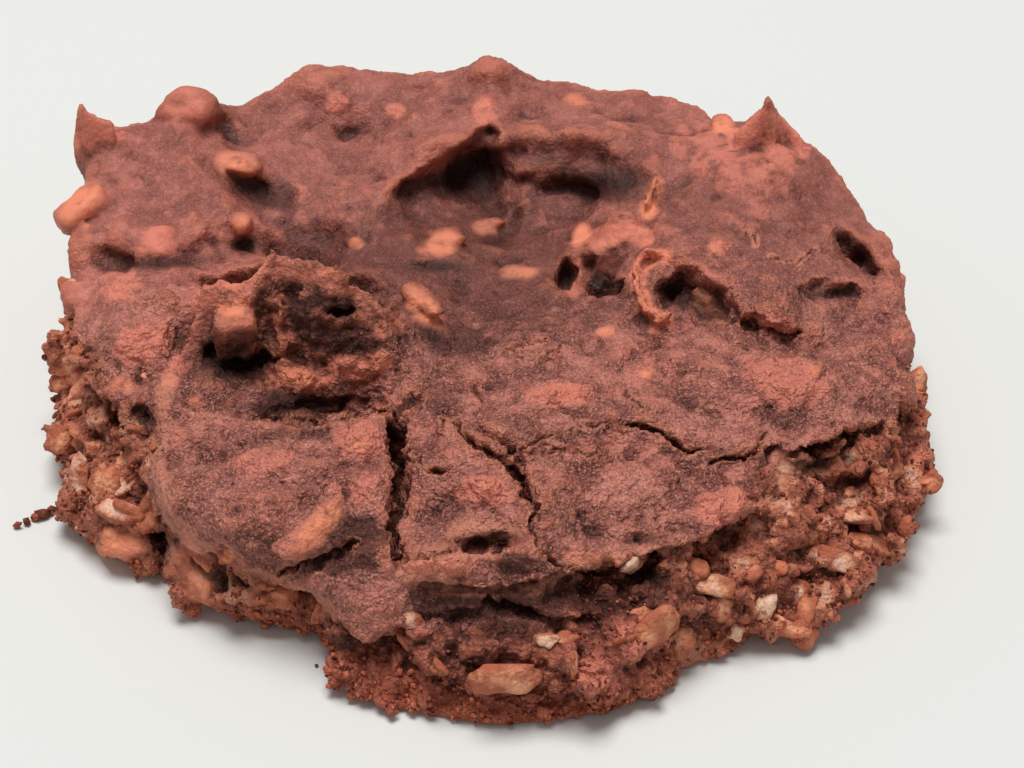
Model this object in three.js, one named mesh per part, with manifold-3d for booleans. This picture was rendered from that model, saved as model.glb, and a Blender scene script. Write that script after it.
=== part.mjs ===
// A home-baked black bean cookie: a thick round of dark dough with a cratered, cracked crust on top, torn
// craggy sides and oat flakes and nut pieces standing out of it. It is one piece, so it is one solid.
// Millimetres, +Z up. The cookie rests on z = 0, its front faces -Y, and the origin is under its centre.
import * as THREE from "three";
import { ImprovedNoise } from "three/addons/math/ImprovedNoise.js";
import { mergeVertices } from "three/addons/utils/BufferGeometryUtils.js";
import Module from "manifold-3d";

const { smoothstep, lerp, clamp, degToRad, radToDeg, seededRandom } = THREE.MathUtils;

// The round of dough by the direction it faces, in degrees from +X: the radius where the side meets the
// table, the side's full radius, the radius of the crust's edge and the height of that edge
const ROUND = [
  { facing: -180, foot: 34.2, full: 35.7, edge: 33.5, height: 11.0 },
  { facing: -160, foot: 34.0, full: 35.6, edge: 31.6, height: 10.2 },
  { facing: -148, foot: 34.6, full: 35.2, edge: 31.0, height: 9.6 },
  { facing: -136, foot: 31.0, full: 32.0, edge: 31.0, height: 9.4 },
  { facing: -112, foot: 30.0, full: 31.4, edge: 31.6, height: 9.4 },
  { facing: -102, foot: 35.4, full: 35.0, edge: 30.4, height: 9.8 },
  { facing: -88, foot: 36.3, full: 35.9, edge: 29.6, height: 10.0 },
  { facing: -73, foot: 37.2, full: 36.6, edge: 30.6, height: 10.0 },
  { facing: -64, foot: 34.4, full: 35.0, edge: 31.2, height: 10.0 },
  { facing: -50, foot: 35.4, full: 36.4, edge: 31.4, height: 10.2 },
  { facing: -28, foot: 37.2, full: 39.2, edge: 33.2, height: 10.6 },
  { facing: -8, foot: 36.2, full: 37.6, edge: 35.0, height: 11.2 },
  { facing: 15, foot: 35.0, full: 37.2, edge: 36.4, height: 12.6 },
  { facing: 40, foot: 32.8, full: 35.6, edge: 35.2, height: 14.8 },
  { facing: 65, foot: 31.6, full: 34.0, edge: 33.0, height: 14.8 },
  { facing: 90, foot: 31.0, full: 33.2, edge: 31.9, height: 14.8 },
  { facing: 115, foot: 32.6, full: 35.0, edge: 34.2, height: 14.6 },
  { facing: 135, foot: 33.4, full: 36.0, edge: 35.6, height: 14.8 },
  { facing: 152, foot: 34.8, full: 37.6, edge: 38.0, height: 16.2 },
  { facing: 166, foot: 34.2, full: 36.6, edge: 36.0, height: 13.6 },
  { facing: 180, foot: 34.2, full: 35.7, edge: 33.5, height: 11.0 },
];
const FULL_AT = 0.3; // share of the side's height where it reaches its full radius
const SHOULDER = 1.2; // above that, how late the side draws in towards the crust's edge
const CROWN_HEIGHT = 13.2; // the crust in the middle, before its mounds and hollows
const CROWN_FLATNESS = 3; // how far out the crust keeps the height of its middle
const CENTRE = [0.64, -1.29]; // middle of the finished cookie's box in these coordinates

// Mounds (rise above zero) and hollows (below) of the crust: centre, half-widths, turn in degrees, rise
const MOUNDS = {
  backPlateau: { at: [2, 27], half: [21, 7], turn: 0, rise: 0.6 },
  backPeak: { at: [1, 30], half: [4.2, 3.4], turn: 0, rise: 1.4 },
  backRidgeLeft: { at: [-13.5, 29.5], half: [6, 4.5], turn: 20, rise: 1.6 },
  backLeftLump: { at: [-25.8, 23], half: [3.2, 3.2], turn: 0, rise: 4.3 },
  backLeftBlock: { at: [-30.5, 15], half: [6, 5.5], turn: 10, rise: 1.2 },
  leftLobe: { at: [-26.5, -3], half: [5, 6.5], turn: 0, rise: 1.8 },
  rightPlateau: { at: [23, 9.5], half: [8.5, 10], turn: 0, rise: 2.4 },
  rightShoulder: { at: [26, 19], half: [4.5, 3.5], turn: 0, rise: 0.6 },
  rightFrontMound: { at: [25, -13.5], half: [5.5, 5], turn: 0, rise: 1.3 },
  frontSlab: { at: [7, -18.5], half: [12, 5.5], turn: 0, rise: 0.9 },
  frontLeftSlab: { at: [-14, -22], half: [7.5, 4.5], turn: -12, rise: 0.8 },
  valley: { at: [-2, 2.5], half: [14, 8.5], turn: 0, rise: -2.8 },
  crater: { at: [6, 14], half: [10, 4.2], turn: -6, rise: -2.4 },
  backLeftDip: { at: [-14, 11], half: [7, 6], turn: 30, rise: -1.4 },
  leftCrevice: { at: [-28.5, 6], half: [6, 1.5], turn: 22, rise: -1.8 },
  tornFace: { at: [-13, -9.4], half: [8, 3], turn: 2, rise: -1.0 },
  tearFoot: { at: [-11, -13.8], half: [7, 2], turn: 4, rise: -1.4 },
};

// Ridges of lifted crust: a line of points [x, y, rise], with a gentle slope behind and a torn face in front.
// The ridge leans forward over that face.
const RIDGES = {
  crest: {
    line: [
      [-23.5, -3.4, 1.4],
      [-19.4, -3.0, 5.0],
      [-15.8, -2.8, 6.9],
      [-10.6, -4.4, 5.8],
      [-5, -6.2, 3.0],
      [-1.5, -7, 0.8],
    ],
    behind: 5,
    before: 2.4,
    lean: 1.4,
  },
  craterLip: {
    line: [
      [-8, 15.4, 0.6],
      [-3.4, 16.6, 1.6],
      [1, 19.6, 2.0],
      [8, 18.4, 1.8],
      [15, 16.2, 1.0],
    ],
    behind: 5.5,
    before: 1.5,
    lean: 1.4,
  },
  rightFlap: {
    line: [
      [15.5, 4.2, 0.6],
      [19, 1.4, 1.4],
      [22.6, -2.4, 1.4],
      [27, -4.6, 0.6],
    ],
    behind: 3.6,
    before: 1.3,
    lean: 0.9,
  },
};

// Tips of crust that stand up from the rest: the middle of the foot, the top, and the width at the foot
const TIPS = {
  backLeft: { foot: [-32.4, 16.4, 12.0], top: [-35.2, 18.8, 19.4], width: 7.0 },
  right: { foot: [25.4, 19.4, 12.0], top: [26.2, 22.0, 18.9], width: 9.0 },
  backPeak: { foot: [1.4, 28.6, 13.0], top: [1.0, 30.8, 18.2], width: 9.0 },
};
const TIP_SIDES = 6;

// Caves and holes torn into the dough: centre, half-sizes, turn in degrees
const TEARS = {
  caveLeft: { at: [-1, 17.6, 12.3], half: [4.2, 2.8, 1.7], turn: 14 },
  caveRight: { at: [8.5, 17.4, 11.8], half: [6, 2.4, 1.2], turn: -8 },
  hole: { at: [10.9, 4.6, 11.4], half: [1.9, 1.5, 2.4], turn: 0 },
  flapCave: { at: [18.2, -0.9, 12.2], half: [3.4, 1.7, 1.5], turn: -40 },
  rightSlit: { at: [32.2, 5, 12.4], half: [3.6, 0.9, 2.2], turn: -58 },
  shortSlit: { at: [28.4, -1.2, 13.2], half: [3.0, 0.6, 1.6], turn: 4 },
  crestUndercut: { at: [-19.3, -7.2, 12.6], half: [2.8, 2.1, 1.9], turn: 12 },
  crevice: { at: [-10.6, -14.6, 10.6], half: [6.2, 0.9, 1.9], turn: 3 },
  frontRecess: { at: [11, -31.2, 8.0], half: [6.5, 2.4, 1.1], turn: 10 },
  rightRecess: { at: [28, -21.2, 8.4], half: [4.5, 2.6, 1.5], turn: 48 },
  leftRecess: { at: [-29.5, -13.5, 7.6], half: [3.6, 2.2, 1.6], turn: -62 },
};
const CAVE_DETAIL = 1;

// Cracks in the crust: a line of points [x, y], the width in the middle and the height of the bottom
const CRACKS = {
  main: {
    line: [
      [-6.4, -13.8],
      [-5.3, -16.4],
      [-5.7, -19.6],
      [-5.0, -22.6],
      [-5.6, -25.6],
      [-5.0, -30.2],
    ],
    width: 1.3,
    bottom: 7.6,
  },
  middle: {
    line: [
      [-1.4, -17.6],
      [1.2, -19.8],
      [3.4, -21.6],
      [4.2, -24.4],
      [5.0, -27],
      [5.4, -30],
    ],
    width: 0.9,
    bottom: 9.4,
  },
  right: {
    line: [
      [7, -19.2],
      [11.6, -18.2],
      [14.2, -20],
      [17.2, -21.8],
      [20.2, -20.6],
      [22.6, -21.4],
    ],
    width: 0.7,
    bottom: 10.4,
  },
};
const CRACK_TOP = 22; // above everything that a crack cuts

// Oat and nut pieces that stand out of the crust: place, length, width and thickness, turn in degrees.
// A piece sits at the crust's own height, and lift raises or sinks it.
const TOP_PIECES = [
  { at: [-35, 11.3], size: [4.4, 3.4, 2.8], turn: 70, lift: -0.2 },
  { at: [-21.3, 17.2], size: [4.2, 2.6, 2.2], turn: -20, lift: 0.4 },
  { at: [-20.5, 9.4], size: [2.2, 2.0, 1.8], turn: 0, lift: 0.2 },
  { at: [-27.4, 7.6], size: [3.6, 3.2, 2.4], turn: 0, lift: 0.2 },
  { at: [-3.2, 8.2], size: [4.8, 3.2, 2.4], turn: 15, lift: 0.3 },
  { at: [1.1, 11.7], size: [3.0, 1.6, 1.6], turn: 10, lift: 0.2 },
  { at: [3.5, 5.2], size: [3.8, 1.8, 1.4], turn: 0, lift: 0.1 },
  { at: [-4.1, -1.4], size: [5.0, 2.6, 2.2], turn: -58, lift: 0.5 },
  { at: [9, 10.1], size: [2.6, 1.6, 1.4], turn: 75, lift: 0.2 },
  { at: [-19.6, -6.4], size: [3.8, 2.8, 2.6], turn: 12, lift: 0.6 },
  { at: [-14.6, -10.6], size: [4.0, 2.0, 1.8], turn: 8, lift: 0.3 },
  { at: [-9.2, -9.8], size: [4.2, 2.2, 1.8], turn: -6, lift: 0.3 },
  { at: [-11.6, -26.6], size: [5.4, 2.2, 1.4], turn: 54, lift: 0.1 },
  { at: [22.3, 22.6], size: [2.6, 2.0, 1.8], turn: 30, lift: 0.2 },
  { at: [13.6, -11.4], size: [2.2, 1.6, 1.2], turn: 0, lift: 0.1 },
  { at: [12.4, 7.4], size: [4.2, 2.8, 2.2], turn: 35, lift: 0.6 },
];

// Oat flakes and nut pieces that stand out of the torn side, spread round it at two heights
const SIDE_PIECES = 28;
const SIDE_ROWS = [0.3, 0.66]; // shares of the side's height
const SIDE_ROW_SPREAD = 0.08; // how far a piece may lie above or below its row
const SIDE_STEP_SPREAD = 0.3; // how far along the row it may lie from its even place, in steps
const SIDE_PIECE = { length: [2.8, 5.0], width: [2.0, 3.0], thickness: [1.2, 1.9] };
const SIDE_PIECE_OUT = -0.3; // how far the middle of a piece lies outside the side
const SIDE_PIECE_TILT = 0.5; // radians to either side
const SIDE_PIECE_SWING = 0.7;
const SEED = 20;

// Unevenness of the surfaces: size in plan and in height, depth, and a shift so that no two are alike
const OUTLINE_LUMPS = { size: [10, 30], depth: 0.5, shift: 3.7 };
const SIDE_CRAGS = [
  { size: [7, 7], depth: 1.4, shift: 29 },
  { size: [3.4, 2.4], depth: 1.0, shift: 34 },
  { size: [8, 2.2], depth: 0.9, shift: 39 },
];
const CRUST_LUMPS = [
  { size: [6, 6], depth: 0.55, shift: 11 },
  { size: [2.8, 2.8], depth: 0.3, shift: 18 },
];
const NOISE_SPAN = 1.6; // brings the noise to between about -1 and 1

// Faceting
const SPHERE_DETAIL = 18;
const BASE_SHARE = 0.1; // shares of the facets that go to the flat base and to the side; the crust has the rest
const SIDE_SHARE = 0.38;
const CRUST_SHARE = 1 - BASE_SHARE - SIDE_SHARE;
const SAME_POINT = 1e-4; // corners closer than this are one

const wasm = await Module();
wasm.setup();
const perlin = new ImprovedNoise();

function unevenness(list, x, y, z) {
  return list.reduce((sum, { size: [across, tall], depth, shift }) => {
    const noise = perlin.noise(x / across + shift, y / across - shift, z / tall + shift / 2);
    return sum + depth * NOISE_SPAN * noise;
  }, 0);
}

// A bell of height 1 at 0 that falls to about a third at `half` to either side
const bell = (distance, half) => Math.exp(-((distance / half) ** 2));

// The round's measures in a direction, between the two that are stated to either side
function roundAt(angle) {
  const facing = clamp(radToDeg(angle), ROUND[0].facing, ROUND.at(-1).facing);
  const next = Math.max(1, ROUND.findIndex((row) => row.facing >= facing));
  const [a, b] = [ROUND[next - 1], ROUND[next]];
  const t = smoothstep(facing, a.facing, b.facing);
  const lumps = unevenness([OUTLINE_LUMPS], a.full * Math.cos(angle), a.full * Math.sin(angle), 0);
  return {
    foot: lerp(a.foot, b.foot, t) + lumps,
    full: lerp(a.full, b.full, t) + lumps,
    edge: lerp(a.edge, b.edge, t) + lumps,
    height: lerp(a.height, b.height, t),
  };
}

function moundRise({ at, half, turn, rise }, x, y) {
  const c = Math.cos(degToRad(turn));
  const s = Math.sin(degToRad(turn));
  const [dx, dy] = [x - at[0], y - at[1]];
  return rise * bell(dx * c + dy * s, half[0]) * bell(dy * c - dx * s, half[1]);
}

// How far a ridge lifts the crust at a point and leans it forward
function ridgeLift({ line, behind, before, lean }, x, y) {
  let best = { distance: Infinity };
  for (let i = 0; i + 1 < line.length; i++) {
    const [a, b] = [line[i], line[i + 1]];
    const [ex, ey] = [b[0] - a[0], b[1] - a[1]];
    const along = clamp(((x - a[0]) * ex + (y - a[1]) * ey) / (ex * ex + ey * ey), 0, 1);
    const [dx, dy] = [x - a[0] - along * ex, y - a[1] - along * ey];
    const distance = Math.hypot(dx, dy);
    if (distance < best.distance) {
      const length = Math.hypot(ex, ey);
      const side = ex * dy - ey * dx; // positive behind the line, which runs from left to right
      best = { distance, side, rise: lerp(a[2], b[2], along), front: [ey / length, -ex / length] };
    }
  }
  const share = bell(best.distance, best.side > 0 ? behind : before);
  const forward = lean * share * Math.min(1, best.rise);
  return new THREE.Vector3(best.front[0] * forward, best.front[1] * forward, best.rise * share);
}

// A point of the crust, from the direction and its share of the way out to the crust's edge
function crustPoint(angle, share) {
  const { edge, height } = roundAt(angle);
  const [x, y] = [edge * share * Math.cos(angle), edge * share * Math.sin(angle)];
  const point = new THREE.Vector3(x, y, lerp(CROWN_HEIGHT, height, share ** CROWN_FLATNESS));
  for (const mound of Object.values(MOUNDS)) point.z += moundRise(mound, x, y);
  for (const ridge of Object.values(RIDGES)) point.add(ridgeLift(ridge, x, y));
  point.z += unevenness(CRUST_LUMPS, x, y, 0);
  return point;
}

// The crust's point above or below [x, y], before any ridge leans
function crustAt(x, y) {
  const angle = Math.atan2(y, x);
  return crustPoint(angle, Math.min(1, Math.hypot(x, y) / roundAt(angle).edge));
}

// A point of the torn side, from the direction and its share of the way up to the crust's edge
function sidePoint(angle, share) {
  const { foot, full } = roundAt(angle);
  const top = crustPoint(angle, 1);
  const z = share * top.z;
  const plain =
    share < FULL_AT
      ? lerp(foot, full, Math.sin((share / FULL_AT) * (Math.PI / 2)))
      : lerp(full, Math.hypot(top.x, top.y), ((share - FULL_AT) / (1 - FULL_AT)) ** SHOULDER);
  const crags = unevenness(SIDE_CRAGS, plain * Math.cos(angle), plain * Math.sin(angle), z);
  const radius = plain + crags * Math.sqrt(Math.sin(Math.PI * share)); // none at the foot and at the edge
  return new THREE.Vector3(radius * Math.cos(angle), radius * Math.sin(angle), z);
}

// The geometry with its positions alone, so that triangles which meet share their corners
function bareGeometry(geometry) {
  geometry.deleteAttribute("normal");
  geometry.deleteAttribute("uv");
  return mergeVertices(geometry, SAME_POINT);
}

// The whole skin of the dough: an even net of triangles on a ball, drawn over the base, the side and the crust
function doughGeometry() {
  const ball = bareGeometry(new THREE.IcosahedronGeometry(1, SPHERE_DETAIL));
  const place = ball.attributes.position;
  for (let i = 0; i < place.count; i++) {
    const angle = Math.atan2(place.getY(i), place.getX(i));
    const up = (1 + place.getZ(i)) / 2; // share of the ball's area below this point
    let point;
    if (up < BASE_SHARE) {
      const r = roundAt(angle).foot * Math.sqrt(up / BASE_SHARE);
      point = new THREE.Vector3(r * Math.cos(angle), r * Math.sin(angle), 0);
    } else if (up < BASE_SHARE + SIDE_SHARE) {
      point = sidePoint(angle, (up - BASE_SHARE) / SIDE_SHARE);
    } else {
      point = crustPoint(angle, Math.sqrt((1 - up) / CRUST_SHARE));
    }
    place.setXYZ(i, ...point);
  }
  return ball;
}

function caveGeometry({ at, half, turn }) {
  return new THREE.IcosahedronGeometry(1, CAVE_DETAIL)
    .scale(...half)
    .rotateZ(degToRad(turn))
    .translate(...at);
}

// A crack's outline in plan, widest in the middle and drawn to a point at its ends, cut straight down
function crackGeometry({ line, width, bottom }) {
  const side = (sign) =>
    line.slice(1, -1).map(([x, y], i) => {
      const [before, after] = [line[i], line[i + 2]];
      const along = new THREE.Vector2(after[0] - before[0], after[1] - before[1]).normalize();
      const half = (sign * width) / 2;
      return new THREE.Vector2(x - along.y * half, y + along.x * half);
    });
  const ends = [line[0], line.at(-1)].map(([x, y]) => new THREE.Vector2(x, y));
  const shape = new THREE.Shape([ends[0], ...side(-1), ends[1], ...side(1).reverse()]);
  const cut = { depth: CRACK_TOP - bottom, bevelEnabled: false };
  return new THREE.ExtrudeGeometry(shape, cut).translate(0, 0, bottom);
}

function tipGeometry({ foot, top, width }) {
  const [low, high] = [new THREE.Vector3(...foot), new THREE.Vector3(...top)];
  const up = high.clone().sub(low);
  const turn = new THREE.Quaternion().setFromUnitVectors(THREE.Object3D.DEFAULT_UP, up.clone().normalize());
  return new THREE.ConeGeometry(width / 2, up.length(), TIP_SIDES)
    .applyQuaternion(turn)
    .translate(...low.lerp(high, 0.5));
}

function pieceGeometry(size, turns, place) {
  const spin = new THREE.Matrix4().makeRotationFromEuler(new THREE.Euler(...turns, "ZYX"));
  return new THREE.IcosahedronGeometry(0.5, 0)
    .scale(...size)
    .applyMatrix4(spin)
    .translate(...place);
}

function topPieces() {
  return TOP_PIECES.map(({ at, size, turn, lift }) => {
    const place = crustAt(...at);
    return pieceGeometry(size, [0, 0, degToRad(turn)], [place.x, place.y, place.z + lift]);
  });
}

function sidePieces() {
  seededRandom(SEED);
  const between = ([low, high]) => lerp(low, high, seededRandom());
  const within = (reach) => between([-reach, reach]);
  return Array.from({ length: SIDE_PIECES }, (_, i) => {
    const angle = ((i + within(SIDE_STEP_SPREAD)) / SIDE_PIECES) * 2 * Math.PI - Math.PI;
    const place = sidePoint(angle, SIDE_ROWS[i % SIDE_ROWS.length] + within(SIDE_ROW_SPREAD));
    const size = [SIDE_PIECE.length, SIDE_PIECE.width, SIDE_PIECE.thickness].map(between);
    const out = new THREE.Vector3(Math.cos(angle), Math.sin(angle), 0).multiplyScalar(SIDE_PIECE_OUT);
    const swing = angle + Math.PI / 2 + within(SIDE_PIECE_SWING);
    return pieceGeometry(size, [within(SIDE_PIECE_TILT), within(SIDE_PIECE_TILT), swing], place.add(out));
  });
}

function solidFrom(geometry) {
  const bare = bareGeometry(geometry);
  const vertProperties = bare.attributes.position.array;
  const triVerts = new Uint32Array(bare.index.array);
  return new wasm.Manifold(new wasm.Mesh({ numProp: 3, vertProperties, triVerts }));
}

function geometryFrom(solid) {
  const { vertProperties, triVerts } = solid.getMesh();
  return new THREE.BufferGeometry()
    .setAttribute("position", new THREE.BufferAttribute(vertProperties, 3))
    .setIndex(new THREE.BufferAttribute(triVerts, 1));
}

// The dough, torn and cracked, with its tips and pieces fused on. A scrap that a cut leaves loose is dropped.
function cookieSolid() {
  const cuts = [...Object.values(TEARS).map(caveGeometry), ...Object.values(CRACKS).map(crackGeometry)];
  const additions = [...Object.values(TIPS).map(tipGeometry), ...topPieces(), ...sidePieces()];
  let solid = solidFrom(doughGeometry());
  for (const cut of cuts) solid = solid.subtract(solidFrom(cut));
  for (const addition of additions) solid = solid.add(solidFrom(addition));
  return solid.decompose().reduce((a, b) => (b.volume() > a.volume() ? b : a));
}

const bakedDough = new THREE.MeshStandardMaterial({ color: 0x6a3c33, roughness: 0.82, metalness: 0 });
const cookie = new THREE.Mesh(geometryFrom(cookieSolid()), bakedDough);
cookie.name = "cookie";
cookie.geometry.translate(-CENTRE[0], -CENTRE[1], 0).computeVertexNormals();

const part = new THREE.Group();
part.add(cookie);

export default part;
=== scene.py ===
import math

import bmesh
import bpy
import numpy as np
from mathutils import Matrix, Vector, noise
from mathutils.bvhtree import BVHTree


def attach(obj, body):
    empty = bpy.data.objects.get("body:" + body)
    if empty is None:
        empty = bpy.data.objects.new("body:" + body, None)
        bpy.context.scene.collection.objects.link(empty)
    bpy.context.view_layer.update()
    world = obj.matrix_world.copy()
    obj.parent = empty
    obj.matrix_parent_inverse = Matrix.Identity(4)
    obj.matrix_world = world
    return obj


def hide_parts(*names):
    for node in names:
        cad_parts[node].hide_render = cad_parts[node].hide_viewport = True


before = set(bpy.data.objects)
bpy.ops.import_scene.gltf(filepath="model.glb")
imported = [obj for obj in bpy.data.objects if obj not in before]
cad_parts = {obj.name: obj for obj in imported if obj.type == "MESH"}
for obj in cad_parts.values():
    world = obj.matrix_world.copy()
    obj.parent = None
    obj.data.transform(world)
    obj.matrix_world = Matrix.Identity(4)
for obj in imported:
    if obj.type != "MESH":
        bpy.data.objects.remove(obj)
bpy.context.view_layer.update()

MM = 0.001
SEED = 20

# The camera, in the cookie's frame
PHOTO_SIZE = (1024, 768)
VIEW_ANGLE = math.radians(30)  # across the photograph
VIEW_RISE = math.radians(38)  # how far above the table's plane it looks down from
VIEW_DISTANCE = 156.15
VIEW_TARGET = np.array([2.40, -5.28, 8.0])
VIEW_RIGHT = np.array([1.0, 0.0, 0.0])
VIEW_AHEAD = np.array([0.0, math.cos(VIEW_RISE), -math.sin(VIEW_RISE)])
VIEW_UP = np.array([0.0, math.sin(VIEW_RISE), math.cos(VIEW_RISE)])
VIEW_EYE = VIEW_TARGET - VIEW_DISTANCE * VIEW_AHEAD
VIEW_SCALE = PHOTO_SIZE[0] / 2 / math.tan(VIEW_ANGLE / 2)
PIXELS_PER_MM = VIEW_SCALE / VIEW_DISTANCE
SENSOR_WIDTH = 36.0

# Mesh sizes
ROUGH_VOXEL = 0.36
FINE_VOXEL = 0.24
MERGE_DISTANCE = 1e-6  # metres
FACET_SMOOTHING = 4  # rounds
MOST_TRIANGLES = 196_000
NEAR_ROUNDS = 10  # rounds of smoothing that small pits and edges are told from
FAR_ROUNDS = 60  # and broad sunken places

# How far down the side the crust reaches, by the direction it faces in degrees from +X
CRUST_FOOT = [
    (-180, 10.4), (-172, 11.2), (-164, 11.2), (-155, 10.2), (-147, 9.4), (-142, 8.2), (-136, 7.0),
    (-125, 5.8), (-112, 5.0), (-104, 5.2), (-90, 5.2), (-79, 5.4), (-74, 8.6), (-66, 8.9), (-58, 9.2),
    (-50, 9.8), (-44, 10.6), (-35, 10.6), (-28, 10.2), (-20, 10.0), (-10, 8.8), (4, 8.0), (20, 8.4),
    (40, 9.4), (90, 9.0), (135, 9.4), (152, 10.4), (166, 10.0), (180, 10.4),
]
CRUST_RADIUS = (24.0, 21.0)  # from the first radius in to the second, all skin becomes crust
TOP_LOWEST = 3.0  # loose crumbs along cracks and edges lie above this, and those of the foot below
FOOT_HEIGHT = 1.2  # the foot's chunks lie below this, and the flakes and nuts of the hidden sides above
UNDERSIDE = -0.75  # the torn side ends where its skin faces further down than this

# Directions that a hollow is pushed in
INWARD = None  # against the skin it starts from
UNDER = np.array([0.0, 0.95, -0.3])  # back below a lip
BACK = np.array([0.0, 1.0, 0.0])
LIP_TAIL = 2.8  # how much further a hollow below a lip runs out in front
BLOCK_UP = np.array([0.0, -0.05, 1.0])  # the way up of a square piece

# Skin that is smoothed before it gets its finer shape: middle and size in pixels, and turn
MELTED = [
    ((300, 352), (216, 130), -8), ((540, 190), (290, 100), 2), ((602, 255), (130, 110), 0),
    ((715, 305), (150, 80), -20), ((858, 252), (90, 60), -48), ((830, 295), (90, 36), 0),
    ((441, 246), (80, 60), 0), ((424, 307), (76, 76), 0), ((238, 166), (90, 66), -14),
    ((156, 238), (80, 66), 0), ((500, 228), (60, 50), 0), ((518, 273), (70, 44), 0),
    ((242, 228), (50, 50), 0), ((316, 532), (90, 90), 0), ((648, 372), (44, 36), 0),
    ((80, 210), (70, 70), 0), ((722, 122), (50, 50), 0), ((820, 460), (120, 60), 10),
    ((620, 560), (170, 50), 0),
]
MELTING = 160  # rounds of smoothing
CRAGGY = ((310, 345), (190, 130), -10)  # the torn face below the crest, likewise

# Broad swellings and sinks: middle and size in pixels, turn, rise
MASSES = [
    ((340, 335), (150, 100), -14, 2.4),  # the torn face below the crest
    ((250, 310), (80, 60), 20, 1.2),
    ((304, 274), (110, 26), -22, -0.2),  # its top
    ((310, 230), (150, 40), -16, -1.6),  # the valley behind it
    ((236, 246), (110, 50), 10, -1.4),
    ((288, 246), (130, 40), -14, -1.8),
    ((452, 340), (130, 70), -12, -0.9),
    ((184, 330), (36, 100), 0, -1.0),
    ((330, 84), (150, 44), 0, 0.7),  # back ridge
    ((490, 74), (80, 36), 0, 0.8),  # back peak
    ((190, 106), (58, 34), 5, 0.4),  # back-left block
    ((98, 150), (70, 70), 0, 0.9),  # back-left corner
    ((735, 160), (150, 80), -20, 0.8),  # right mound
    ((790, 384), (110, 70), -14, 0.9),  # mound above the right lip
    ((610, 500), (150, 90), 0, 0.4),  # front slab
    ((265, 500), (170, 120), 0, 0.5),  # front-left slab
    ((140, 345), (80, 60), 0, 0.6),  # left lobe
    ((540, 240), (240, 100), -4, -1.0),  # the crater's floor
    ((474, 212), (110, 60), 12, -0.8),
    ((265, 196), (100, 50), -20, -0.9),
    ((600, 140), (180, 30), 0, 0.8),  # the crater's rim
    ((430, 150), (110, 34), 24, 0.6),
    ((700, 320), (120, 40), -24, 0.6),
]

# Steps in the crust: pixels along the edge, how far the skin rises above that line and over how many pixels,
# the same below it, how far the foot of the step is drawn in below its edge, and how many pixels soft it is
STEPS = [
    ([(388, 198), (415, 184), (440, 168), (462, 157), (478, 140), (492, 133), (506, 143)],
     0.9, 50, -0.8, 60, 2.6, 4),
    ([(500, 142), (530, 146), (560, 146), (600, 152), (636, 164), (656, 186)], 0.6, 40, -0.5, 50, 0.6, 10),
    ([(204, 304), (230, 288), (258, 276), (274, 253), (300, 262), (330, 271), (358, 288), (384, 310)],
     -3.3, 46, 0.2, 14, 0.0, 1.5),
    ([(370, 300), (388, 312), (405, 322), (438, 345)], -0.5, 30, 0.2, 14, 0.0, 3),
    ([(654, 282), (690, 275), (716, 296), (742, 322), (772, 334), (806, 330)], 0.9, 44, -0.9, 36, 1.2, 2),
    ([(96, 244), (125, 258), (152, 262), (185, 254), (218, 232)], 0.5, 50, -0.4, 30, 0.7, 4),
    ([(558, 264), (585, 262), (612, 256), (642, 238)], 0.6, 22, -0.7, 24, 0.8, 3),
    ([(246, 420), (290, 424), (330, 421), (360, 414), (394, 404)], -0.7, 22, 0.5, 60, -0.6, 2),
    ([(400, 560), (430, 552), (455, 546), (500, 545), (540, 548), (560, 560)], 0.3, 20, 0.2, 30, -0.6, 2),
    ([(394, 584), (440, 590), (500, 593), (556, 582), (600, 572), (640, 562), (690, 549), (740, 524),
      (760, 498)], 0.3, 24, -0.3, 50, 1.6, 2),
    ([(762, 444), (785, 458), (815, 456), (838, 440), (852, 426)], 0.3, 20, -0.6, 30, 2.2, 2),
    ([(162, 366), (156, 400), (158, 440), (150, 480), (166, 516), (190, 545)], 0.3, 40, -0.6, 26, 0.0, 6),
    ([(455, 424), (481, 448), (519, 474), (526, 483), (532, 520), (540, 548)], 0.3, 60, 0.0, 40, 0.0, 2),
    ([(620, 420), (660, 432), (691, 452), (712, 462), (746, 459), (764, 440)], 0.35, 50, -0.1, 40, 0.0, 2),
    ([(836, 224), (850, 240), (868, 262), (886, 286)], 0.3, 20, -0.4, 20, 0.4, 3),
    ([(792, 290), (820, 284), (850, 288), (868, 298)], 0.4, 26, -0.5, 20, 0.7, 2),
    ([(400, 618), (440, 622), (500, 618), (560, 622), (610, 616)], 0.3, 14, -0.2, 30, 1.4, 2),
    ([(370, 640), (420, 628), (480, 622), (540, 624), (590, 640)], 0.3, 16, 0.5, 24, 0.8, 2),
]

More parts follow.
